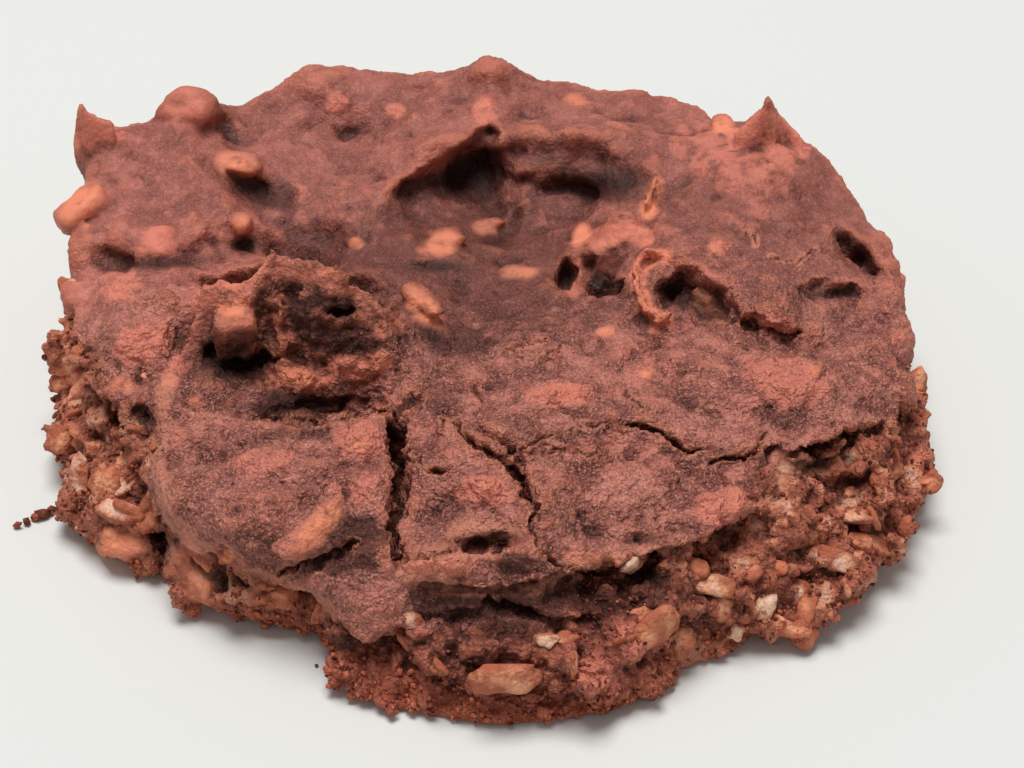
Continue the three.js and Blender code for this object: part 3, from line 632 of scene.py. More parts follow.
class Seen:
    """A mesh as the camera sees it, for shaping it by places in the photograph."""

    def __init__(self, mesh):
        self.points = points_of(mesh)
        self.normals = normals_of(mesh)
        self.pixels = pixels_of(self.points)
        self.tree = BVHTree.FromPolygons(self.points.tolist(), [face.vertices[:] for face in mesh.polygons])

    def at(self, pixel):
        """The place that a pixel shows, and the skin's normal there."""
        place, normal, _, _ = self.tree.ray_cast(Vector(VIEW_EYE), Vector(sight(pixel)))
        if place is None:
            middle = VIEW_EYE + VIEW_DISTANCE * sight(pixel)
            place, normal, _, _ = self.tree.find_nearest(Vector(middle))
        return np.array(place), np.array(normal)

    def oval(self, middle, size, turn, deep=3.0, tail=1.0):
        """The points in and near an oval, and how far out each is: 0 in its middle and 1 at its rim. A tail
        stretches its lower half."""
        offset = self.pixels - middle
        reach = max(size[0], tail * size[1])
        near = np.flatnonzero(np.abs(offset).max(axis=1) < 0.75 * reach)
        place, _ = self.at(middle)
        limit = 0.9 * reach / PIXELS_PER_MM + deep
        near = near[np.linalg.norm(self.points[near] - place, axis=1) < limit]
        angle = math.radians(turn)
        right, down = offset[near].T
        along = right * math.cos(angle) - down * math.sin(angle)
        across = right * math.sin(angle) + down * math.cos(angle)
        across = np.where(across > 0, across / tail, across)
        return near, np.hypot(along / (size[0] / 2), across / (size[1] / 2))

    def line(self, pixels, width, deep=3.0):
        """The points near a line of pixels, and how many pixels off it and how far along it each is."""
        pixels = np.array(pixels, float)
        low, high = pixels.min(axis=0) - 2 * width, pixels.max(axis=0) + 2 * width
        near = np.flatnonzero(((self.pixels > low) & (self.pixels < high)).all(axis=1))
        places = np.array([self.at(pixel)[0] for pixel in pixels])
        best = np.full(len(near), np.inf)
        along = np.zeros(len(near))
        for i in range(len(pixels) - 1):
            start, edge = pixels[i], pixels[i + 1] - pixels[i]
            share = np.clip((self.pixels[near] - start) @ edge / max(edge @ edge, 1e-9), 0, 1)
            off = np.linalg.norm(self.pixels[near] - start - share[:, None] * edge, axis=1)
            place = places[i] + share[:, None] * (places[i + 1] - places[i])
            off[np.linalg.norm(self.points[near] - place, axis=1) > width / PIXELS_PER_MM + deep] = np.inf
            nearer = off < best
            best[nearer] = off[nearer]
            along[nearer] = (i + share[nearer]) / (len(pixels) - 1)
        return near, best, along


# The dough

def facing_of(points):
    """The direction that points lie in from the middle, in degrees from +X."""
    return np.degrees(np.arctan2(points[:, 1], points[:, 0]))


def crust_share(points):
    """1 on the crust and 0 on the torn side, with a ragged border."""
    foot = np.interp(facing_of(points), *zip(*CRUST_FOOT))
    ragged = 1.1 * unevenness(points, 3.2, 3) + 0.5 * unevenness(points, 1.1, 2, shift=7.0)
    inside = smooth_step(*CRUST_RADIUS, np.hypot(points[:, 0], points[:, 1]))
    return np.maximum(inside, smooth_step(-0.35, 0.35, points[:, 2] - foot + ragged))


def oval_mask(seen, rows, outer, inner, uneven):
    """How far each point is inside some ovals: 0 from `outer` out, 1 or the row's amount from `inner` in."""
    mask = np.zeros(len(seen.points))
    for middle, size, turn, *amount in rows:
        near, out = seen.oval(middle, size, turn)
        raise_to(mask, near, (amount or [1.0])[0] * smooth_step(outer, inner, out + uneven[near]))
    return mask


def baked_share(seen):
    """1 on whole crust, and 0 on the torn side and where the crust on top is torn open."""
    ragged = 0.3 * unevenness(seen.points, 1.6, 3, shift=41.0)
    return np.minimum(crust_share(seen.points), 1 - oval_mask(seen, TORN, 1.05, 0.85, ragged))


def solid_copy():
    """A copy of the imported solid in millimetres, with an even skin and its facets smoothed."""
    build = bmesh.new()
    build.from_mesh(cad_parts["cookie"].data)
    bmesh.ops.remove_doubles(build, verts=build.verts, dist=MERGE_DISTANCE)
    bmesh.ops.scale(build, vec=(1 / MM,) * 3, verts=build.verts)
    mesh = modified(mesh_from(build), "REMESH", mode="VOXEL", voxel_size=ROUGH_VOXEL)
    return modified(mesh, "SMOOTH", factor=0.5, iterations=FACET_SMOOTHING)


def skin_net(mesh):
    """The mesh's edges as pairs of points, and how many meet at each point."""
    flat = np.empty(2 * len(mesh.edges), np.int32)
    mesh.edges.foreach_get("vertices", flat)
    edges = flat.reshape(-1, 2)
    return edges, np.maximum(np.bincount(edges.ravel(), minlength=len(mesh.vertices)), 1)


def neighbour_mean(values, edges, count):
    """For each point, the mean of `values` over the points that its edges reach."""
    a, b = edges.T
    sums = [np.bincount(a, axis[b], len(count)) + np.bincount(b, axis[a], len(count)) for axis in values.T]
    return np.stack(sums, 1) / count[:, None]


def melt(mesh):
    """Smooths the skin where it gets a finer shape later."""
    seen = Seen(mesh)
    share = oval_mask(seen, MELTED, 1.05, 0.75, np.zeros(len(seen.points)))
    edges, count = skin_net(mesh)
    edges = edges[(share[edges] > 0).all(axis=1)]
    count = np.maximum(np.bincount(edges.ravel(), minlength=len(count)), 1)
    points = seen.points
    for _ in range(MELTING):
        points = points + share[:, None] * (neighbour_mean(points, edges, count) - points)
    move_points(mesh, points)
    return modified(mesh, "REMESH", mode="VOXEL", voxel_size=ROUGH_VOXEL)


def tear_side(mesh):
    """Draws the side in unevenly below the crust's edge, in rough layers."""
    points, normals = points_of(mesh), normals_of(mesh)
    height = points[:, 2]
    side = (1 - crust_share(points)) * smooth_step(1.4, 4.5, height)
    stretched = points * [[1, 1, 2.6]]
    inset = 0.9 + 2.0 * unevenness(stretched, 5.5, 3, shift=11.0) + 0.8 * crags(points, 2.4, shift=4.0)
    sideways = normals * [[1, 1, 0.4]]
    move_points(mesh, points - sideways * (side * np.clip(inset, -0.3, 3.2))[:, None])


def rising(normals):
    """The way a lump grows: out of a side, but upwards on top, so that it doesn't bulge over its foot."""
    ways = normals + np.outer(1.5 * smooth_step(0.0, 0.5, normals[:, 2]), (0, 0, 1))
    return ways / np.linalg.norm(ways, axis=1, keepdims=True)


def signed_line(seen, pixels, reach):
    """Points near a line of pixels, how many pixels above it each is (below: under 0), and how far along."""
    line = resampled(pixels, STEP_SPACING)
    near, off, along = seen.line(line, reach)
    place = along * (len(line) - 1)
    first = np.minimum(place.astype(int), len(line) - 2)
    edge = line[first + 1] - line[first]
    gap = seen.pixels[near] - line[first]
    above = edge[:, 1] * gap[:, 0] - edge[:, 0] * gap[:, 1]
    return near, np.where(above > 0, off, -off), along


def swell(mesh):
    """Raises and sinks the broad masses of the dough."""
    seen = Seen(mesh)
    wobble = unevenness(seen.points, 4.0, 2, shift=23.0)
    swelling = 0.3 * billows(seen.points, 9.0, 13.0) + 0.55 * crags(seen.points, 6.0, 17.0)
    upward = smooth_step(4.0, 9.0, seen.points[:, 2]) * smooth_step(-0.1, 0.4, seen.normals[:, 2])
    ways = rising(seen.normals)
    moved = ways * (swelling * upward)[:, None]
    for middle, size, turn, rise in MASSES:
        near, out = seen.oval(middle, size, turn)
        moved[near] += ways[near] * (rise * smooth_step(1.15, 0.2, out + 0.3 * wobble[near]))[:, None]
    move_points(mesh, seen.points + moved)


def dent(mesh):
    """Breaks the crust into steps, pushes in the hollows and raises the lumps."""
    seen = Seen(mesh)
    wobble = unevenness(seen.points, 1.6, 3, shift=21.0)
    moved = np.zeros_like(seen.points)
    for pixels, above, above_reach, below, below_reach, drawn, soft in STEPS:
        near, off, along = signed_line(seen, pixels, 1.5 * max(above_reach, below_reach))
        off = off + 3.0 * wobble[near]
        taper = smooth_step(0, 0.12, along) * smooth_step(1, 0.88, along)
        upper = smooth_step(-soft, soft, off)
        rise = upper * above * np.exp(-(np.abs(off) / above_reach) ** 2)
        rise += (1 - upper) * below * np.exp(-(np.abs(off) / below_reach) ** 2)
        back = (1 - upper) * drawn * np.exp(-(np.abs(off) / (0.4 * below_reach)) ** 2)
        moved[near] += np.outer(taper * rise, (0, 0, 1)) + np.outer(taper * back, BACK)
    for middle, size, turn, depth, direction in HOLLOWS:
        near, out = seen.oval(middle, size, turn, tail=LIP_TAIL if direction is UNDER else 1.0)
        amount = depth * smooth_step(1.05, 0.35, out + 0.3 * wobble[near])
        push = -seen.normals[near] if direction is INWARD else direction
        moved[near] += push * amount[:, None]
    ways = rising(seen.normals)
    for middle, size, turn, rise, _, _ in LUMPS:
        near, out = seen.oval(middle, size, turn)
        amount = rise * smooth_step(1.15, 0.25, out + 0.3 * wobble[near])
        moved[near] += ways[near] * amount[:, None]
    move_points(mesh, seen.points + moved)


def strip_mesh(middles, across, half):
    """A closed thin strip, from rows of points up its middle, the way across it, and half its thickness."""
    offset = half[None, :, None] * across
    sheets = np.concatenate([middles - offset, (middles + offset)[:, ::-1]], axis=1)
    build = bmesh.new()
    rings = [[build.verts.new(corner) for corner in ring] for ring in sheets]
    for left, right in zip(rings, rings[1:]):
        for k in range(len(left)):
            build.faces.new((left[k - 1], left[k], right[k], right[k - 1]))
    build.faces.new(rings[0])
    build.faces.new(rings[-1])
    bmesh.ops.recalc_face_normals(build, faces=build.faces)
    return mesh_from(build)


def across_of(line):
    """The level way across a line of places, towards the back."""
    run = line[-1] - line[0]
    across = np.array([-run[1], run[0], 0.0]) / np.linalg.norm(run[:2])
    return across * (np.sign(across @ BACK) or 1.0)


def spread(pixels, count):
    """Evenly spaced pixels along a line."""
    pixels = np.array(pixels, float)
    run = np.concatenate([[0], np.cumsum(np.linalg.norm(np.diff(pixels, axis=0), axis=1))])
    return np.stack([np.interp(np.linspace(0, run[-1], count), run, axis) for axis in pixels.T], 1)


def lip_mesh(seen, edge, foot, lean, thickness, rng):
    """A thin jagged lip that stands on the dough, with its edge where the photograph shows it."""
    count = len(resampled(edge, STRIP_SPACING))
    edge = spread(edge, count)
    edge[:, 1] += rng.uniform(-2.0, 2.0, count)
    feet = np.array([seen.at(pixel)[0] for pixel in spread(foot, count)])
    rays = np.array([sight(pixel) for pixel in edge])
    reach = (feet[:, 1] + lean - VIEW_EYE[1]) / rays[:, 1]
    tips = VIEW_EYE + reach[:, None] * rays
    rows = [feet - [0, 0, LIP_ROOT], feet, feet + 0.55 * (tips - feet), tips]
    half = thickness / 2 * np.array([1.3, 1.2, 0.9, 0.5])
    return strip_mesh(np.stack(rows, 1), across_of(feet), half)


def flap_mesh(seen, pixels, heights, lean, thickness, rng):
    """A thin jagged strip of crust that stands on the dough along a line."""
    line = resampled(pixels, STRIP_SPACING)
    shares = np.linspace(0, 1, len(line))
    tall = np.interp(shares, (0, 0.5, 1), heights) * (1 + rng.uniform(-0.6, 0.4, len(line)))
    spots = [seen.at(pixel) for pixel in line]
    feet = np.array([place - FLAP_ROOT * normal for place, normal in spots])
    across = across_of(feet)
    steps = np.array([0.0, 0.4, 0.75, 1.0])
    lifts = np.outer(tall, steps) + FLAP_ROOT * steps
    middles = feet[:, None] + lifts[..., None] * [0, 0, 1] - (lean * lifts * steps)[..., None] * across
    return strip_mesh(middles, across, thickness / 2 * (1 - 0.4 * steps))


def random_turns(count, rng):
    """Turning matrices, even over all directions."""
    q = rng.normal(size=(count, 4))
    w, x, y, z = (q / np.linalg.norm(q, axis=1, keepdims=True)).T
    return np.stack([
        np.stack([1 - 2 * (y * y + z * z), 2 * (x * y - z * w), 2 * (x * z + y * w)], -1),
        np.stack([2 * (x * y + z * w), 1 - 2 * (x * x + z * z), 2 * (y * z - x * w)], -1),
        np.stack([2 * (x * z - y * w), 2 * (y * z + x * w), 1 - 2 * (x * x + y * y)], -1),
    ], 1)


def corners_and_faces(build):
    mesh = mesh_from(build)
    return points_of(mesh), np.array([face.vertices[:] for face in mesh.polygons])


def ball(subdivisions):
    build = bmesh.new()
    bmesh.ops.create_icosphere(build, subdivisions=subdivisions, radius=1.0)
    return corners_and_faces(build)


def block(cuts):
    """A ball of few faces, from a cube."""
    build = bmesh.new()
    bmesh.ops.create_cube(build, size=2.0)
    bmesh.ops.subdivide_edges(build, edges=build.edges, cuts=cuts, use_grid_fill=True)
    points, faces = corners_and_faces(build)
    return points / np.linalg.norm(points, axis=1, keepdims=True), faces


def faceted(shape, count, rng, cuts=11, least=0.45, most=0.85):
    """Broken pieces: the ball's points drawn in to a few random flat cuts, another set for each piece."""
    ways = rng.normal(size=(count, cuts, 3))
    ways /= np.linalg.norm(ways, axis=2, keepdims=True)
    gaps = rng.uniform(least, most, (count, cuts, 1))
    facing = np.maximum(np.einsum("nci,ki->nck", ways, shape), 0.05)
    return shape[None] * np.minimum((gaps / facing).min(axis=1), 1.0)[..., None]


def many_mesh(corners, faces):
    """One mesh of many like pieces, from the corners of each."""
    count, each = corners.shape[:2]
    numbered = faces[None] + np.arange(count)[:, None, None] * each
    mesh = bpy.data.meshes.new("work")
    mesh.from_pydata(corners.reshape(-1, 3).tolist(), [], numbered.reshape(-1, faces.shape[1]).tolist())
    return mesh


def chunk_mesh(places, radii, rng, subdivisions=2, flat=(1.0, 0.85, 0.6)):
    """One mesh of many broken pieces, each with its own radius and turn."""
    shape, faces = ball(subdivisions)
    count = len(places)
    sizes = radii[:, None, None] * rng.uniform(0.75, 1.3, (count, 1, 3)) * np.array(flat)
    corners = np.einsum("nij,nkj->nki", random_turns(count, rng), faceted(shape, count, rng) * sizes)
    return many_mesh(corners + places[:, None], faces)


def axes_at(normal, turn):
    """Axes on the skin: along the turn as the camera sees it, across it, and out."""
    angle = math.radians(turn)
    along = math.cos(angle) * VIEW_RIGHT + math.sin(angle) * VIEW_UP
    along = along - normal * (along @ normal)
    along /= np.linalg.norm(along)
    return np.stack([along, np.cross(normal, along), normal])


def upright(normal):
    """The way out of the dough at a place, without the small unevenness of its skin."""
    return unit(normal + UPRIGHT_LEAN)


def stone_mesh(seen, rng):
    """The coated pieces that stand out of the crust."""
    shape, faces = ball(4)
    broken = np.linalg.norm(faceted(shape, len(STONES), rng, cuts=10, least=0.55, most=0.9), axis=2)
    stones = []
    for (middle, size, turn, out, squareness, bend, _, _), cut in zip(STONES, broken):
        place, normal = seen.at(middle)
        stone = shape / (np.abs(shape) ** squareness).sum(axis=1, keepdims=True) ** (1 / squareness)
        uneven, way = OVAL_UNEVENNESS, upright(normal)
        if squareness > BLOCK_LIMIT:
            uneven, way = BLOCK_UNEVENNESS, BLOCK_UP
        elif squareness > OVAL_LIMIT:
            uneven = BROKEN_UNEVENNESS
            stone *= 1.15 * cut[:, None] ** 0.8
        stone = stone * (1 + uneven * unevenness(shape + rng.uniform(0, 90), 0.8, 3))[:, None]
        stone[:, 1] += bend * size[0] / size[1] * stone[:, 0] ** 2
        stones.append(stone * np.array(size) / 2 @ axes_at(way, turn) + place + out * normal)
    return many_mesh(np.array(stones), faces)


def ribbon_mesh(seen, pixels, thickness, height, rng):
    """A thin rib that stands on the dough along a line: a row of small uneven lumps that run together."""
    shape, faces = ball(2)
    beads = []
    for pixel in resampled(pixels, BEAD_SPACING):
        place, normal = seen.at(pixel)
        size = np.array([thickness, thickness, height]) * rng.uniform(0.8, 1.2, 3)
        axes = axes_at(unit(normal + [0, 0, 0.6]), 0)
        beads.append(shape * size / 2 @ axes + place + 0.3 * height * normal)
    return many_mesh(np.array(beads), faces)


def sampled(mesh, count, rng, keep):
    """Places and normals on faces drawn at random by area, from those that `keep` marks."""
    areas = np.array([face.area for face in mesh.polygons])
    centres = np.array([face.center[:] for face in mesh.polygons])
    normals = np.array([face.normal[:] for face in mesh.polygons])
    weights = areas * keep(centres, normals)
    drawn = rng.choice(len(areas), count, p=weights / weights.sum())
    return centres[drawn] + rng.uniform(-0.2, 0.2, (count, 3)), normals[drawn]


def torn_share(centres, normals, lowest=0.6):
    """The torn side, apart from its underside."""
    return (1 - crust_share(centres)) * (normals[:, 2] > UNDERSIDE) * (centres[:, 2] > lowest)


def hidden_share(centres, normals):
    """The torn side that faces away from the camera."""
    return torn_share(centres, normals) * (normals[:, 1] > -0.15) * (centres[:, 2] > FOOT_HEIGHT)


def foot_share(centres, normals):
    """The low rim where the dough meets the table."""
    return (centres[:, 2] < FOOT_HEIGHT) * (np.abs(normals[:, 2]) < 0.9) * (centres[:, 2] > 0.05)


def bit_share(centres, normals):
    """Where the small bits lie: most on the left and right, fewer in front."""
    facing = np.abs(facing_of(centres) + 90)
    return torn_share(centres, normals) * (0.3 + 0.7 * smooth_step(25, 55, facing))


def side_chunks(mesh, rng):
    """Broken pieces that the torn side is made of."""
    parts = []
    for count, low, high in SIDE_CHUNKS:
        places, normals = sampled(mesh, count, rng, torn_share)
        radii = rng.uniform(low, high, count)
        places = places + normals * (radii * rng.uniform(-0.4, 0.3, count))[:, None]
        places[:, 2] = np.maximum(places[:, 2], 0.75 * radii)
        parts.append(chunk_mesh(places, radii, rng))
    return joined(parts)


def foot_chunks(mesh, rng):
    """Coarse crumbs that the foot is made of."""
    count, low, high = FOOT_CHUNKS
    places, _ = sampled(mesh, count, rng, foot_share)
    radii = low + (high - low) * rng.uniform(0, 1, count) ** 2
    level = places * [[1, 1, 0]]
    level /= np.linalg.norm(level, axis=1, keepdims=True)
    places = places - level * (radii * rng.uniform(0.3, 0.9, count))[:, None]
    places[:, 2] = radii * rng.uniform(0.5, 1.1, count)
    return chunk_mesh(places, radii, rng)


def shaped_dough():
    """The dough before its fine relief: the solid reshaped, with its chunks, coated pieces and thin crust."""
    rng = np.random.default_rng(SEED)
    mesh = melt(solid_copy())
    tear_side(mesh)
    swell(mesh)
    dent(mesh)
    seen = Seen(mesh)
    thin = [flap_mesh(seen, *flap, rng) for flap in FLAPS]
    thin += [ribbon_mesh(seen, *ribbon[:3], rng) for ribbon in RIBBONS]
    thin += [lip_mesh(seen, *lip[:4], rng) for lip in LIPS]
    mesh = joined([mesh, side_chunks(mesh, rng), foot_chunks(mesh, rng), stone_mesh(seen, rng), *thin])
    return modified(mesh, "REMESH", mode="VOXEL", voxel_size=FINE_VOXEL)


def jagged(pixels, rng):
    """A line of pixels with small random kinks."""
    line = resampled(pixels, CRACK_SPACING)
    line[1:-1] += rng.uniform(-CRACK_KINK, CRACK_KINK, (len(line) - 2, 2))
    return line


def crack_opening(seen, pixels, width, rng):
    """Points near a crack, how far across it each is (1 at its edge), and how open it is there."""
    near, off, along = seen.line(jagged(pixels, rng), 1.6 * width)
    ends = np.minimum(1, 5 * np.minimum(along + 0.08, 1.08 - along))
    uneven = np.clip(0.75 + 0.9 * unevenness(seen.points[near], 1.3, 2, shift=51.0), 0.3, 1.4)
    return near, off / (0.5 * width * uneven), ends


def stone_oval(seen, middle, size, turn):
    """The points in and near a coated piece, and how far out each is."""
    return seen.oval(middle, np.array(size[:2]) * PIXELS_PER_MM * 1.1, turn, deep=1.0)


def lip_line(seen, edge, foot):
    """The points near a lip, and how many pixels off its middle each is."""
    near, off, _ = seen.line(0.5 * (spread(edge, 12) + spread(foot, 12)), RIB_REACH)
    return near, off


def clean_share(seen):
    """1 on the coated pieces and the lips, which are smoother than the crust, and 0 elsewhere."""
    clean = np.zeros(len(seen.points))
    for middle, size, turn, *_ in STONES:
        near, out = stone_oval(seen, middle, size, turn)
        raise_to(clean, near, smooth_step(1.2, 0.9, out))
    for edge, foot, *_ in LIPS:
        near, off = lip_line(seen, edge, foot)
        raise_to(clean, near, 0.6 * smooth_step(14, 8, off))
    return clean


def fine_relief(mesh):
    """Cuts the cracks and roughens the crust and the crumb."""
    rng = np.random.default_rng(SEED + 1)
    seen = Seen(mesh)
    crust = baked_share(seen)
    sharp = 1 - 0.5 * smooth_step(-8, 12, seen.points[:, 1])
    near, out = seen.oval(*CRAGGY)
    rough = np.zeros(len(seen.points))
    rough[near] = smooth_step(1.1, 0.7, out)
    clean = clean_share(seen)
    creased = CREASE_DEPTH * (1 - clean) * creases(seen.points, 5.0)
    baked = sharp * (CRAG_HEIGHT * crags(seen.points, 2.6, 2.0) - creased)
    baked += rough * CREST_CRAG_HEIGHT * crags(seen.points, 3.4, 71.0)
    stepped = LEDGE_HEIGHT * ledges(seen.points, 5.5, 5, 77.0)
    stepped += FINE_LEDGE_HEIGHT * ledges(seen.points, 2.0, 3, 83.0)
    baked += sharp * stepped
    warp = [unevenness(seen.points, 1.5, 2, shift=k) for k in (1.0, 2.0, 3.0)]
    warped = seen.points + 0.5 * np.stack(warp, 1)
    torn = CRUMB_HEIGHT * crumbliness(warped, 1.6, shift=9.0)
    torn += CRUMB_UNEVENNESS * unevenness(seen.points, 0.8, 3, shift=9.0)
    above = smooth_step(0.1, 0.8, seen.points[:, 2]) * (1 - 0.6 * clean)
    moved = seen.normals * ((crust * baked + (1 - crust) * torn) * above)[:, None]
    for pixels, width, depth in CRACKS:
        near, off, ends = crack_opening(seen, pixels, width, rng)
        amount = depth * ends * smooth_step(1.1, 0.4, off)
        rim = CRACK_RIM_HEIGHT * smooth_step(3.2, 1.4, off)
        moved[near] += seen.normals[near] * (rim - amount)[:, None]
    move_points(mesh, seen.points + moved)


def hollowness(mesh, rounds):
    """How far each point lies below (above zero) or above the smoothed skin around it, in millimetres."""
    edges, count = skin_net(mesh)
    points = points_of(mesh)
    smoothed = points
    for _ in range(rounds):
        smoothed = neighbour_mean(smoothed, edges, count)
    return ((smoothed - points) * normals_of(mesh)).sum(axis=1)


def tinted_places(seen, wobble):
    """Each lump, rib, lip and coated piece: its points, its share of each, and how rosy and amber it is."""
    for middle, size, turn, _, rosy, ambered in LUMPS:
        near, out = seen.oval(middle, size, turn)
        yield near, smooth_step(1.1, 0.55, out + wobble[near]), rosy, ambered
    for pixels, _, _, rosy, ambered in RIBBONS:
        near, off, _ = seen.line(pixels, RIB_REACH)
        yield near, smooth_step(11, 5, off), rosy, ambered
    for edge, foot, _, _, rosy, ambered in LIPS:
        near, off = lip_line(seen, edge, foot)
        yield near, smooth_step(15, 8, off), rosy, ambered
    for middle, size, turn, _, _, _, rosy, ambered in STONES:
        near, out = stone_oval(seen, middle, size, turn)
        yield near, smooth_step(1.05, 0.5, out + 0.9 * wobble[near]), rosy, ambered


def paint(mesh):
    """Gives each point of the dough its share of every tint, painted shade and highlight among them, and how
    far it lies below the skin round it.
    """
    rng = np.random.default_rng(SEED + 1)
    seen = Seen(mesh)
    wobble = 0.25 * unevenness(seen.points, 1.3, 3, shift=31.0)
    rose, amber, crack, rim = np.zeros((4, len(seen.points)))
    for near, share, rosy, ambered in tinted_places(seen, wobble):
        raise_to(rose, near, rosy * share)
        raise_to(amber, near, ambered * share)
    for pixels, width, _ in CRACKS:
        near, off, _ = crack_opening(seen, pixels, width, rng)
        raise_to(crack, near, smooth_step(1.2, 0.4, off))
        raise_to(rim, near, smooth_step(1.0 + CRUMBLY_RIM / width, 1.0, off))
    for pixels in RIMS:
        near, off, _ = seen.line(jagged(pixels, rng), 2 * CRUMBLY_RIM)
        raise_to(rim, near, smooth_step(CRUMBLY_RIM, 0.3 * CRUMBLY_RIM, off))
    masks = {
        "crust": baked_share(seen), "rose": rose, "amber": amber, "crack": crack, "rim": rim,
        # dark patches, partly painted shade, and deep painted shade in caves and below pieces
        "umber_and_shade": oval_mask(seen, UMBER_AND_SHADE, 1.15, 0.5, 1.4 * wobble),
        "shade": oval_mask(seen, SHADES, 1.2, 0.2, 0.5 * wobble),
        "clean": clean_share(seen),
        "hollow": hollowness(mesh, NEAR_ROUNDS), "sunken": hollowness(mesh, FAR_ROUNDS),
    }
    for name, values in masks.items():
        set_values(mesh, name, values)
    return masks


def thinned(mesh):
    """The mesh with no more triangles than a piece may have."""
    triangles = sum(len(face.vertices) - 2 for face in mesh.polygons)
    ratio = min(1.0, MOST_TRIANGLES / triangles)
    return modified(mesh, "DECIMATE", ratio=ratio, use_collapse_triangulate=True)


# Oats, nuts and crumbs

def outward(normal):
    """The way that a piece pressed into the side faces: out of the dough, and more to the front."""
    return unit(normal - SIDE_LEAN * VIEW_AHEAD)


def placed(seen, rows):
    """Rows with their pixel turned into the place that it shows and the way that a piece there faces."""
    spots = [(*seen.at(pixel), rest) for pixel, *rest in rows]
    return [(place, outward(normal), *rest) for place, normal, rest in spots]


def random_flake(place, normal, length, width, out, tone, rng):
    """A flake of random turn and curl. Ranges give its share of width, how far out it stands and its tone."""
    return (place, normal, length, length * rng.uniform(*width), rng.uniform(0, 180),
            rng.uniform(0, MOST_CURL), rng.uniform(*out), rng.uniform(*tone))


def flake_corners(shape, place, normal, length, width, turn, curl, out, rng):
    """A rolled oat: a thin ragged oval, curled and pressed into the dough."""
    along, across, up = shape.T
    blunt = (np.abs(shape) ** FLAKE_BLUNTNESS).sum(axis=1) ** (-1 / FLAKE_BLUNTNESS)
    uneven = unevenness(shape * [[1, 1, 0.3]] + rng.uniform(0, 90), 0.7, 3)
    ragged = blunt * (1 + FLAKE_RAGGEDNESS * uneven)
    height = FLAKE_THICKNESS * width * up * ragged - curl * 0.3 * width * along ** 2
    bent = across * ragged * width / 2 + 0.5 * curl * width * along ** 2
    flake = np.stack([along * ragged * length / 2, bent, height], 1)
    return flake @ axes_at(normal, turn) + place + (out - FLAKE_SINK) * normal


def flake_mesh(seen, mesh):
    """Rolled oats in and on the dough: whole flakes, then the many broken bits of the torn side."""
    rng = np.random.default_rng(SEED + 2)
    count, least, most = HIDDEN_FLAKES
    rows = placed(seen, FLAKES)
    for place, normal in zip(*sampled(mesh, count, rng, hidden_share)):
        length = rng.uniform(least, most)
        rows.append(random_flake(place, normal, length, *FLAKE_RANGES, rng))
    count, least, most = SIDE_BITS
    bits = []
    for place, normal in zip(*sampled(mesh, count, rng, bit_share)):
        length = least + (most - least) * rng.uniform(0, 1) ** 2
        bits.append(random_flake(place, normal, length, *BIT_RANGES, rng))
    parts, tones, bare = [], [], []
    for group, (shape, faces) in ((rows, ball(3)), (bits, block(2))):
        parts.append(many_mesh(np.array([flake_corners(shape, *row[:-1], rng) for row in group]), faces))
        tones.append(np.repeat([row[-1] for row in group], len(shape)))
        bare.append(np.tile(1 - np.hypot(shape[:, 0], shape[:, 1]), len(group)))
    made = joined(parts)
    set_values(made, "tone", np.concatenate(tones))
    set_values(made, "bare", np.concatenate(bare))
    return made


def nut_mesh(seen, mesh):
    """Broken nut kernels pressed into the torn side."""
    rng = np.random.default_rng(SEED + 3)
    count, least, most = HIDDEN_NUTS
    rows = placed(seen, NUTS)
    for place, normal in zip(*sampled(mesh, count, rng, hidden_share)):
        size = rng.uniform(least, most) * HIDDEN_NUT_FORM
        rows.append((place, normal, size, rng.uniform(0, 180), HIDDEN_NUT_OUT))
    shape, faces = ball(3)
    nuts = faceted(shape, len(rows), rng, cuts=9, least=0.4, most=0.75)
    bare = []
    for nut, (place, normal, size, turn, out) in zip(nuts, rows):
        nut *= 1 + 0.25 * unevenness(shape + rng.uniform(0, 90), 0.7, 3)[:, None]
        bare.append(nut[:, 2] * 1.4)
        nut[:] = (nut * np.array(size) * 0.8) @ axes_at(normal, turn) + place + (out - NUT_SINK) * normal
    made = many_mesh(nuts, faces)
    set_values(made, "tone", np.repeat(rng.uniform(0.3, 1.0, len(rows)), len(shape)))
    set_values(made, "bare", np.concatenate(bare))
    return made


